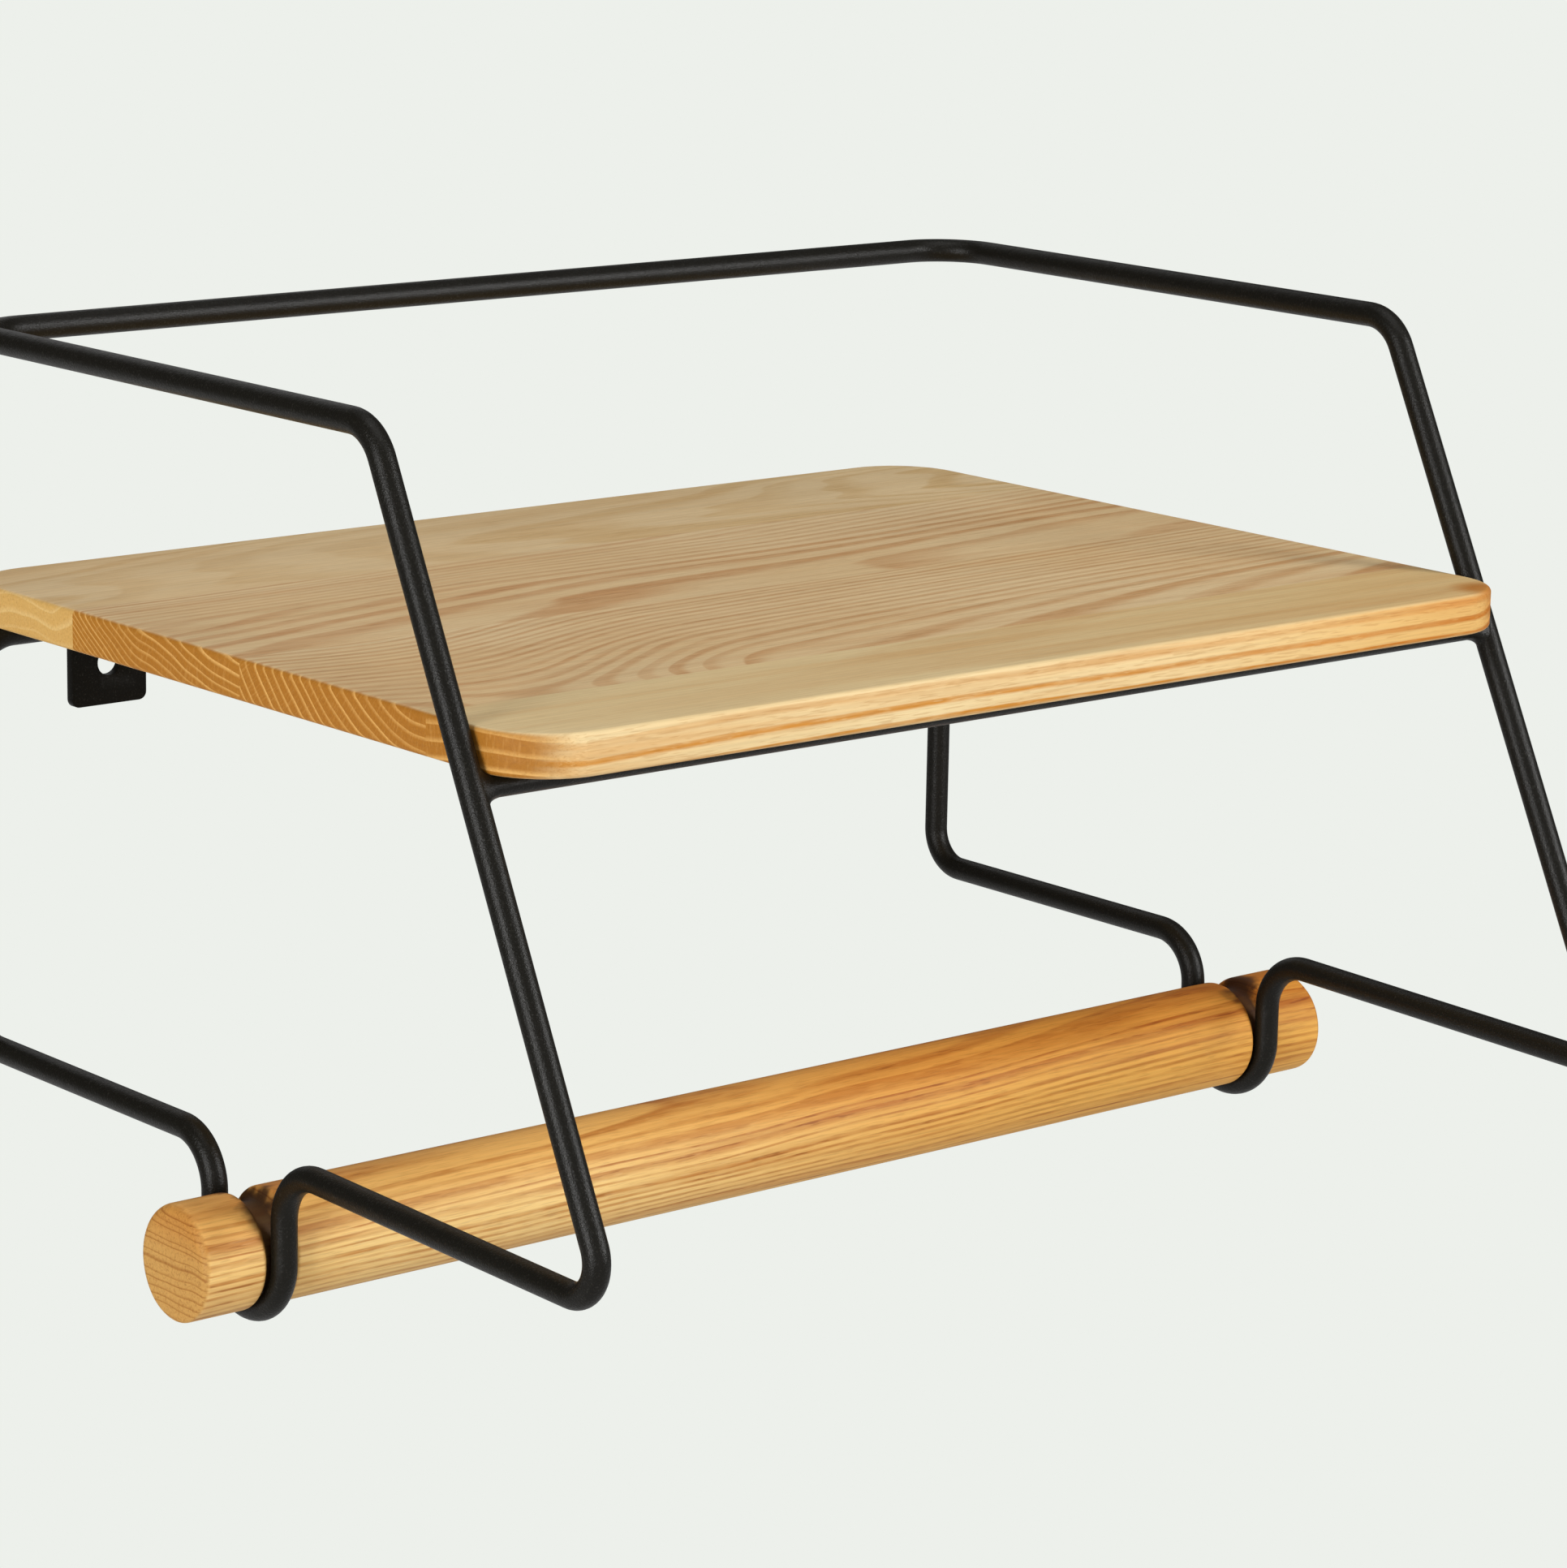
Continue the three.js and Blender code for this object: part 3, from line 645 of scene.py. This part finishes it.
FIBRE_SHADE = srgb(128, 96, 36)
CLOUD_SHADE = srgb(228, 194, 130)
DEEPER_SHADE = srgb(238, 203, 126)
# Tint of the painted shade that darkens the upper half of the roll bar.
TOP_SHADE_PAINT = srgb(240, 200, 124)
SCORCHED = srgb(44, 22, 10)
WOOD_SHINE = 0.22
STAVE_SEED = 3.7
BAR_SEED = 21.0


class Look:
    """A material's node graph. A call that adds nodes returns the output socket, or sockets."""

    def __init__(self, name):
        self.material = bpy.data.materials.new(name)
        self.material.use_nodes = True
        self.tree = self.material.node_tree
        self.shader = self.tree.nodes["Principled BSDF"]

    def add(self, kind, inputs, output=0, **settings):
        node = self.tree.nodes.new(kind)
        for key, value in settings.items():
            setattr(node, key, value)
        for key, value in inputs.items():
            self.feed(node.inputs[key], value)
        return node.outputs[output]

    def feed(self, socket, value):
        if isinstance(value, bpy.types.NodeSocket):
            self.tree.links.new(value, socket)
        else:
            socket.default_value = value

    def set(self, **values):
        for key, value in values.items():
            self.feed(self.shader.inputs[key.replace("_", " ")], value)

    def shine(self, level):
        self.shader.inputs["Specular IOR Level"].default_value = level

    def place(self):
        return self.add("ShaderNodeTexCoord", {}, "Object")

    def normal(self):
        return self.add("ShaderNodeTexCoord", {}, "Normal")

    def math(self, operation, a, b=0.0, c=0.0, clamp=False):
        return self.add("ShaderNodeMath", {0: a, 1: b, 2: c}, operation=operation, use_clamp=clamp)

    def product(self, first, *others):
        for other in others:
            first = self.math("MULTIPLY", first, other)
        return first

    def vector(self, operation, a, b=(0, 0, 0), output=0):
        return self.add("ShaderNodeVectorMath", {0: a, 1: b}, output, operation=operation)

    def parts(self, vector):
        node = self.tree.nodes.new("ShaderNodeSeparateXYZ")
        self.feed(node.inputs[0], vector)
        return node.outputs

    def joined(self, x, y, z):
        return self.add("ShaderNodeCombineXYZ", {0: x, 1: y, 2: z})

    def noise(self, vector, stretch, detail=2.0, roughness=0.5, shift=None):
        """Noise of so many waves a metre along each axis. A shift sets it apart from its like."""
        if shift:
            vector = self.vector("ADD", vector, shift)
        scaled = self.vector("MULTIPLY", vector, stretch)
        inputs = {"Vector": scaled, "Scale": 1.0, "Detail": detail, "Roughness": roughness}
        return self.add("ShaderNodeTexNoise", inputs)

    def span(self, value, low, high, to_low=0.0, to_high=1.0):
        """Goes smoothly from to_low to to_high while a value goes from low to high."""
        inputs = {"Value": value, "From Min": low, "From Max": high, "To Min": to_low, "To Max": to_high}
        return self.add("ShaderNodeMapRange", inputs, interpolation_type="SMOOTHSTEP", clamp=True)

    def blend(self, factor, a, b, kind="MIX"):
        return self.add("ShaderNodeMix", {0: factor, 6: a, 7: b}, 2, data_type="RGBA", blend_type=kind)

    def bump(self, height, strength, distance):
        inputs = {"Height": height, "Strength": strength, "Distance": distance}
        return self.add("ShaderNodeBump", inputs)


def powder_coat(name, grain=1.0, shine=0.21):
    """Near-black powder coat: a fine pebbled skin that sparkles where it is lit, with painted glints."""
    look = Look(name)
    place = look.place()
    pebble = look.noise(place, (2300, 2300, 2300), 2.0, 0.6)
    swell = look.noise(place, (260, 260, 260), 1.0)
    patch = look.noise(place, (45, 45, 45), 2.0)
    shade = look.blend(patch, srgb(16, 14, 9), srgb(20, 18, 12))
    # Painted highlight: pale specks on the pebbles' peaks are painted into the base colour everywhere,
    # standing in for glints.
    shade = look.blend(look.span(pebble, 0.56, 0.74, 0.0, 0.55), shade, srgb(56, 54, 49))
    height = look.math("ADD", pebble, look.math("MULTIPLY", swell, 0.9))
    rough = look.span(pebble, 0.3, 0.75, 0.42, 0.30)
    look.set(Base_Color=shade, Roughness=rough, Normal=look.bump(height, grain, 0.11 * MM))
    look.shine(shine)
    return look.material


def blackened_steel(name):
    """Blackened screw steel, with a little bare metal on its high spots."""
    look = Look(name)
    place = look.place()
    grain = look.noise(place, (1400, 1400, 1400), 3.0, 0.6)
    worn = look.span(look.noise(place, (420, 420, 420), 2.0), 0.58, 0.72, 0.0, 0.6)
    look.set(
        Base_Color=look.blend(worn, srgb(40, 39, 37), srgb(112, 108, 100)),
        Roughness=look.span(grain, 0.3, 0.7, 0.3, 0.5),
        Normal=look.bump(grain, 0.25, 0.05 * MM),
    )
    look.shader.inputs["Metallic"].default_value = 0.85
    return look.material


def growth_rings(look, place, log, offset):
    """Age in rings of each point of a log whose pith runs nearly along X, its direction round the
    pith and its distance from it. log says where the pith is (y, z), how far that leans with each
    metre of X, the ring's width at one radius, how strongly rings narrow outwards, how far they
    wander, how uneven their widths are, their phase, and the x, reach and height of a swelling."""
    x, y, z = look.parts(place)
    warp_y = look.noise(offset, (5, 26, 26), 2.0, 0.45)
    warp_z = look.noise(offset, (5, 26, 26), 2.0, 0.45, shift=(3.1, 1.7, 0.4))
    across = look.math("SUBTRACT", y, look.math("MULTIPLY_ADD", x, log["lean"][0], log["pith"][0]))
    across = look.math("MULTIPLY_ADD", warp_y, log["wander"], across)
    up = look.math("SUBTRACT", z, look.math("MULTIPLY_ADD", x, log["lean"][1], log["pith"][1]))
    up = look.math("MULTIPLY_ADD", warp_z, log["wander"], up)
    if "swell" in log:  # a bulge of the log, which closes the rings into ovals on the face
        swell_x, reach, height = log["swell"]
        away = look.math("ABSOLUTE", look.math("SUBTRACT", x, swell_x))
        up = look.math("ADD", up, look.span(away, 0.0, reach, height, 0.0))
    out = look.vector("LENGTH", look.joined(across, up, 0.0), output="Value")
    radius, width, power = log["radius"], log["ring"], log.get("narrowing", 0.0) + 1
    relative = look.math("POWER", look.math("DIVIDE", out, radius), power)
    years = look.math("MULTIPLY", relative, radius / (width * power))
    uneven = look.noise(look.joined(years, 0.0, 0.0), (0.55, 1, 1), 1.0)
    years = look.math("MULTIPLY_ADD", uneven, log.get("uneven", 1.2), years)
    years = look.math("ADD", years, log.get("phase", 0.0))
    return years, look.math("ARCTAN2", up, across), out


def late_wood(look, ring, vigour, offset, tones):
    """How far each point is into its ring's late wood, from 0 to 1. Weak years show less of it, and
    it breaks up along the grain."""
    onset = tones.get("onset", 0.25)
    rise = look.span(ring, onset, 0.4 * onset + 0.53)
    fall = look.span(ring, 0.90, 1.0, 1.0, 0.0)
    strength = look.span(vigour, 0.35, 0.65, tones.get("weakest", 0.45), 1.0)
    patches = look.noise(offset, (45, 420, 420), 2.0, 0.6, shift=(2.9, 3.3, 0.8))
    whole = look.span(patches, 0.36, 0.60, 1.0 - tones.get("broken", 0.3), 1.0)
    return look.product(rise, fall, strength, whole)


def long_grain(look, offset, late, pore, streak, flat, tones):
    """The colour along the grain: late wood, broad streaks, pores, dark dashes and pale flecks."""
    colour = look.blend(look.product(late, tones["depth"], flat), tones["early"], tones["late"])
    streaks = look.product(look.span(streak, 0.42, 0.75, 0.0, tones["streaks"]), flat)
    colour = look.blend(streaks, colour, tones["late"])
    colour = look.blend(look.product(pore, tones["pores"]), colour, tones["pore"])
    dash = look.noise(offset, (170, 3000, 3000), 1.0, 0.5, shift=(1.3, 4.1, 2.7))
    dashes = look.product(look.span(dash, 0.54, 0.66, 0.0, tones["dashes"]), flat)
    colour = look.blend(dashes, colour, tones["pore"])
    fleck = look.noise(offset, (200, 2400, 2400), 1.0, 0.5, shift=(5.3, 0.6, 1.9))
    flecks = look.product(look.span(fleck, 0.58, 0.70, 0.0, tones["dashes"]), flat)
    return look.blend(flecks, colour, tones["fleck"])


def end_grain(look, offset, ring, vigour, polar, tones):
    """The colour of a sawn end: a ridge on each ring, faint rays and open pores. polar is made of
    the direction round the pith, the distance from it and a seed."""
    ridge = look.product(look.span(ring, 0.0, 0.42, 1.0, 0.0), look.span(ring, 0.0, 0.08))
    ridge = look.product(ridge, look.span(vigour, 0.3, 0.7, 0.5, 1.0))
    colour = look.blend(ridge, tones["end"], tones["end_ridge"])
    rays = look.noise(polar, (150, 240, 1), 2.0, 0.6)
    colour = look.blend(look.span(rays, 0.50, 0.72, 0.0, 0.16), colour, tones["end_ridge"])
    specks = look.noise(offset, (60, 1900, 1900), 2.0, 0.6)
    return look.blend(look.span(specks, 0.50, 0.72, 0.0, 0.42), colour, tones["pore"])


def stained(look, colour, place, cloud, flat, facing_up, tones):
    """Adds a brown patch on top, where a knot was near, and a tone that deepens along X."""
    x, y, _ = look.parts(place)
    if "patch" in tones:
        centre, radius, shade = tones["patch"]
        away = look.vector("DISTANCE", look.joined(x, y, 0.0), (*centre, 0.0), output="Value")
        away = look.math("MULTIPLY_ADD", cloud, 0.6 * radius, away)
        near = look.span(away, 0.6 * radius, 1.5 * radius, 0.9, 0.0)
        near = look.product(near, look.span(facing_up, 0.2, 0.9))
        colour = look.blend(near, colour, shade, "MULTIPLY")
    if "deeper" in tones:
        start, finish, amount = tones["deeper"]
        deeper = look.product(look.span(x, start, finish, 0.0, amount), flat)
        colour = look.blend(deeper, colour, DEEPER_SHADE, "MULTIPLY")
    return colour


def wood(name, log, tones, seed):
    """Solid wood whose growth rings agree on every face. tones holds its colours: early and late
    wood, end grain and its ridges, pores, flecks. It also says how strongly late wood (depth),
    streaks, pores, dashes and clouds show, how much of that shows on a flat-sawn face (flat), where
    in a ring late wood sets in (onset), how much of it a weak year has (weakest), how much it breaks
    up (broken), a patch of (centre, radius, shade), and deeper: from x, to x, amount."""
    look = Look(name)
    place = look.place()
    offset = look.vector("ADD", place, (seed, seed * 0.37, seed * 0.71))
    years, angle, out = growth_rings(look, place, log, offset)
    ring = look.math("FRACT", years)
    vigour = look.noise(look.joined(years, seed, 4.0), (0.9, 1, 1), 1.0)
    late = late_wood(look, ring, vigour, offset, tones)

    fibre = look.noise(offset, (22, 1500, 1500), 3.0, 0.6)
    streak = look.noise(offset, (7, 190, 190), 2.0, 0.5)
    cloud = look.noise(offset, (9, 16, 16), 2.0)
    pore = look.span(look.noise(offset, (150, 2300, 2300), 1.0, 0.4), 0.56, 0.68)
    pore = look.product(pore, look.span(late, 0.1, 0.8, 0.12, 1.0), look.span(streak, 0.34, 0.6))
    facing = look.parts(look.normal())
    end = look.span(look.math("ABSOLUTE", facing[X]), 0.12, 0.80)
    flat = look.span(look.math("ABSOLUTE", facing[Z]), 0.3, 0.9, 1.0, tones.get("flat", 1.0))

    along = long_grain(look, offset, late, pore, streak, flat, tones)
    sawn = end_grain(look, offset, ring, vigour, look.joined(angle, out, seed), tones)
    colour = look.blend(end, along, sawn)
    colour = look.blend(look.span(fibre, 0.35, 0.75, 0.0, 0.14), colour, FIBRE_SHADE, "MULTIPLY")
    clouds = look.span(cloud, 0.3, 0.7, 0.0, tones["clouds"])
    colour = look.blend(clouds, colour, CLOUD_SHADE, "MULTIPLY")
    colour = stained(look, colour, place, cloud, flat, facing[Z], tones)

    relief = look.math("MULTIPLY_ADD", late, 0.4, look.math("MULTIPLY", fibre, 0.5))
    relief = look.math("SUBTRACT", relief, look.math("MULTIPLY", pore, 0.8))
    look.set(
        Base_Color=colour,
        Roughness=look.span(look.math("ADD", fibre, late), 0.4, 1.4, 0.62, 0.52),
        Normal=look.bump(relief, look.span(end, 0.0, 1.0, 0.28, 0.6), 0.12 * MM),
    )
    look.shine(WOOD_SHINE)
    return look


def board_wood():
    """One material for each stave: each was sawn from a different log."""
    top = BOARD_HIGH.z
    sawn = dict(
        early=srgb(240, 211, 162), late=srgb(209, 147, 82), end=srgb(178, 119, 40),
        end_ridge=srgb(240, 190, 112), pore=srgb(170, 108, 36), fleck=srgb(246, 222, 168),
        depth=0.95, streaks=0.30, pores=0.35, dashes=0.2, clouds=0.25, flat=0.72, onset=0.36,
    )
    pale = dict(
        sawn, late=srgb(222, 180, 112), end=srgb(217, 174, 100), end_ridge=srgb(234, 200, 134),
        pore=srgb(190, 136, 66), streaks=0.2,
    )
    lined = dict(
        sawn, early=srgb(241, 218, 168), late=srgb(210, 140, 38), pore=srgb(182, 120, 36), depth=1.0,
        streaks=0.6, dashes=0.26, flat=0.4, onset=0.5, weakest=0.3, deeper=(0.0, 0.13, 0.7),
        patch=((0.141, -0.219), 9 * MM, srgb(224, 176, 104)),
    )
    logs = (
        dict(pith=(-0.020, top - 0.052), lean=(0.02, 0.085), radius=0.05, ring=4.2 * MM, wander=0.03),
        dict(
            pith=(-0.121, top + 0.104), lean=(0.03, -0.03), radius=0.112, ring=2.2 * MM,
            narrowing=3.0, wander=0.010, uneven=0.6,
        ),
        dict(
            pith=(-0.190, top + 0.040), lean=(0.03, -0.07), radius=0.060, ring=2.9 * MM,
            narrowing=0.6, wander=0.008, uneven=0.6, swell=(-0.112, 0.07, -0.014),
        ),
        dict(
            pith=(-0.200, top - 0.095), lean=(0.00, 0.008), radius=0.094, ring=3.6 * MM,
            wander=0.007, uneven=0.3, phase=0.25,
        ),
    )
    staves = zip(STAVES, logs, (pale, sawn, sawn, lined))
    return [wood(f"stave_wood_{i}", log, tones, STAVE_SEED * i).material for i, log, tones in staves]


def scorched_necks(look, plain, x, height):
    """A wood's plain colour, burnt dark round each neck where turning scorched it. The scorching
    reaches furthest on top. height is each point's height over the bar's middle."""
    from_neck = look.math("ABSOLUTE", look.math("SUBTRACT", look.math("ABSOLUTE", x), NECK_X))
    smoke = look.noise(look.place(), (75, 110, 110), 3.0, 0.6)
    above = look.span(height, 2 * MM, 13 * MM, 0.9 * MM, 8 * MM)
    reach = look.math("MULTIPLY_ADD", look.span(smoke, 0.3, 0.7), above, 3.2 * MM)
    burnt = look.math("SUBTRACT", 1.0, look.math("DIVIDE", from_neck, reach), clamp=True)
    burnt = look.math("MULTIPLY", look.span(burnt, 0.0, 0.6), 0.92)
    return look.blend(burnt, plain, SCORCHED)


def bar_wood():
    """Golden ring-porous wood with flat rings, scorched where the necks were turned, with painted shade
    on its top.
    """
    tones = dict(
        early=srgb(250, 214, 142), late=srgb(186, 112, 28), end=srgb(212, 166, 94),
        end_ridge=srgb(158, 100, 38), pore=srgb(140, 78, 20), fleck=srgb(252, 228, 172),
        depth=0.85, streaks=0.5, pores=0.6, dashes=0.16, clouds=0.34,
        weakest=0.3, onset=0.4, broken=0.55, deeper=(-0.10, 0.10, 0.8),
    )
    log = dict(
        pith=(ROLL_BAR.y + 0.012, ROLL_BAR.z - 0.085), lean=(0.0, 0.010), radius=0.085,
        ring=1.9 * MM, wander=0.012, uneven=1.8,
    )
    look = wood("bar_wood", log, tones, BAR_SEED)
    x, _, z = look.parts(look.place())
    height = look.math("SUBTRACT", z, ROLL_BAR.z)
    plain = look.shader.inputs["Base Color"].links[0].from_socket
    # Painted shade: the colour is multiplied darker and more orange towards the bar's top, standing in
    # for less light falling there.
    painted_top_shade = look.span(height, 0, 11 * MM, 0.0, 0.5)
    plain = look.blend(painted_top_shade, plain, TOP_SHADE_PAINT, "MULTIPLY")
    look.set(Base_Color=scorched_necks(look, plain, x, height))
    return look.material


# ---- putting the pieces on the frame ----
def placed(piece, body, nodes, material):
    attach(piece, body)
    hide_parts(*nodes)
    piece.data.materials.clear()
    piece.data.materials.append(material)
    return piece


def make_frame():
    coat, slot = powder_coat("rod_powder_coat"), "frame_powder_coat"
    loop_nodes = ["rail_back", "bar_rear"]
    for side in SIDES:
        tubes = ("rail", "leg", "runner_front", "cradle", "runner_rear", "post")
        loop_nodes += [f"{tube}_{side}" for tube in tubes]
    placed(rod_loop(), "frame", loop_nodes, coat)
    placed(front_bar(), "frame", ["bar_front"], coat)
    for side, sign in SIDES.items():
        weld = bar_weld(f"front_bar_weld_{side}", sign)
        placed(weld, "frame", [f"weld_bar_front_{side}"], coat)


def make_brackets_and_tabs():
    coat, slot = powder_coat("plate_powder_coat", grain=0.35, shine=0.10), "bracket_powder_coat"
    steel = blackened_steel("screw_steel")
    for side in SIDES:
        bracket = wall_bracket(f"bracket_{side}", f"wall_bracket_{side}")
        placed(bracket, "frame", [f"wall_bracket_{side}"], coat)
        node = f"weld_wall_bracket_{side}"
        weld = corner_weld(f"bracket_weld_{side}", node, REAR_BAR, ROD_RADIUS)
        placed(weld, "frame", [node], coat)
        for end, rod, radius in (("front", FRONT_BAR, FRONT_BAR_RADIUS), ("rear", REAR_BAR, ROD_RADIUS)):
            tag = f"{end}_{side}"
            tab = shelf_tab(f"tab_{tag}", f"shelf_tab_{tag}")
            placed(tab, "frame", [f"shelf_tab_{tag}"], coat)
            node = f"weld_shelf_tab_{tag}"
            weld = corner_weld(f"tab_weld_{tag}", node, rod, radius)
            placed(weld, "frame", [node], coat)
            screw = wood_screw(f"tab_screw_{tag}", f"shelf_screw_{tag}")
            placed(screw, "frame", [f"shelf_screw_{tag}"], steel)


def make_wood():
    for i, stave, material in zip(STAVES, board_staves(), board_wood()):
        placed(stave, "frame", [f"shelf_stave_{i}"], material)
    placed(turned_bar(), "roll_bar", ["roll_bar"], bar_wood())


# ---- studio ----
CAMERA_AZIMUTH, CAMERA_ELEVATION, CAMERA_ROLL = (math.radians(a) for a in (-40.18, 12.80, 1.08))
CAMERA_AIM = Vector((-0.8, -129.1, -20.6)) * MM
CAMERA_DISTANCE = 1.244
CAMERA_LENS = 120.88
CAMERA_SENSOR = 36
PALE = srgb(237, 240, 235)
FLOOR_BOUNCE = 0.58
AMBIENT = 0.1
BOUNCE_LEVELS = -0.45, -0.1  # heights of view between which the bounce fades into the ambient light
FLOOR_DROP = 0.35  # of the floor below the shelf
FLOOR_HALF = 20
DOME_RADIUS = 19
LIGHT_AIM = ROLL_BAR * 0.5

# Degrees round from the front and up, metres away, metres wide and high, and watts.
LIGHTS = {
    "left_softbox": (-72, 9, 1.5, 0.45, 0.9, 15.5),
    "right_softbox": (34, 18, 1.5, 0.45, 0.9, 15),
    "front_fill": (-20, 5, 2.0, 1.6, 1.6, 5),
    "top_softbox": (0, 80, 1.8, 1.6, 1.6, 11),
    "back_softbox": (160, 30, 1.8, 1.2, 1.0, 2),
}


def direction(azimuth, elevation):
    """The unit vector from the shelf towards a viewer at that azimuth and elevation, in radians."""
    flat = math.cos(elevation)
    return Vector((math.sin(azimuth) * flat, -math.cos(azimuth) * flat, math.sin(elevation)))


def make_camera():
    data = bpy.data.cameras.new("camera")
    data.lens, data.sensor_width, data.sensor_fit = CAMERA_LENS, CAMERA_SENSOR, "HORIZONTAL"
    data.clip_start, data.clip_end = 0.05, 50
    camera = bpy.data.objects.new("camera", data)
    bpy.context.scene.collection.objects.link(camera)
    back = direction(CAMERA_AZIMUTH, CAMERA_ELEVATION)
    right = Vector((0, 0, 1)).cross(back).normalized()
    basis = Matrix((right, back.cross(right), back)).transposed()
    basis = basis @ Matrix.Rotation(CAMERA_ROLL, 3, "Z")
    camera.matrix_world = Matrix.Translation(CAMERA_AIM + back * CAMERA_DISTANCE) @ basis.to_4x4()
    bpy.context.scene.camera = camera


def make_light(name, azimuth, elevation, distance, width, height, watts):
    data = bpy.data.lights.new(name, "AREA")
    data.shape, data.size, data.size_y = "RECTANGLE", width, height
    data.energy = watts
    light = bpy.data.objects.new(name, data)
    light.visible_camera = False
    bpy.context.scene.collection.objects.link(light)
    away = direction(math.radians(azimuth), math.radians(elevation))
    light.location = LIGHT_AIM + away * distance
    light.rotation_mode = "QUATERNION"
    light.rotation_quaternion = away.to_track_quat("Z", "Y")


def make_world():
    """Dim all round, with a pale bounce from below."""
    world = bpy.data.worlds.new("studio")
    world.use_nodes = True
    tree = world.node_tree
    place = tree.nodes.new("ShaderNodeTexCoord")
    split = tree.nodes.new("ShaderNodeSeparateXYZ")
    ramp = tree.nodes.new("ShaderNodeMapRange")
    tree.links.new(place.outputs["Generated"], split.inputs[0])
    tree.links.new(split.outputs["Z"], ramp.inputs["Value"])
    ramp.interpolation_type = "SMOOTHSTEP"
    ramp.inputs["From Min"].default_value, ramp.inputs["From Max"].default_value = BOUNCE_LEVELS
    ramp.inputs["To Min"].default_value, ramp.inputs["To Max"].default_value = FLOOR_BOUNCE, AMBIENT
    background = tree.nodes["Background"]
    background.inputs["Color"].default_value = (1, 1, 1, 1)
    tree.links.new(ramp.outputs[0], background.inputs["Strength"])
    bpy.context.scene.world = world


def make_backdrop():
    """A pale floor and a pale dome behind it, seen by the camera but lighting nothing."""
    look = Look("pale_backdrop")
    look.set(Base_Color=(0, 0, 0, 1), Emission_Color=PALE, Emission_Strength=1.0, Roughness=1.0)
    look.shine(0.0)
    floor = bmesh.new()
    bmesh.ops.create_grid(floor, x_segments=1, y_segments=1, size=FLOOR_HALF)
    bmesh.ops.translate(floor, vec=(0, 0, cad_box[0][Z] - FLOOR_DROP), verts=floor.verts)
    dome = bmesh.new()
    bmesh.ops.create_icosphere(dome, subdivisions=4, radius=DOME_RADIUS)
    for name, bm in (("floor", floor), ("dome", dome)):
        piece = finished(name, bm)
        piece.data.materials.append(look.material)
        for rays in ("diffuse", "glossy", "transmission", "volume_scatter", "shadow"):
            setattr(piece, f"visible_{rays}", False)


def make_studio():
    make_world()
    for name, settings in LIGHTS.items():
        make_light(name, *settings)
    make_backdrop()
    scene = bpy.context.scene
    scene.view_settings.view_transform = "Standard"
    scene.view_settings.look = "None"


make_camera()
make_frame()
make_brackets_and_tabs()
make_wood()
make_studio()
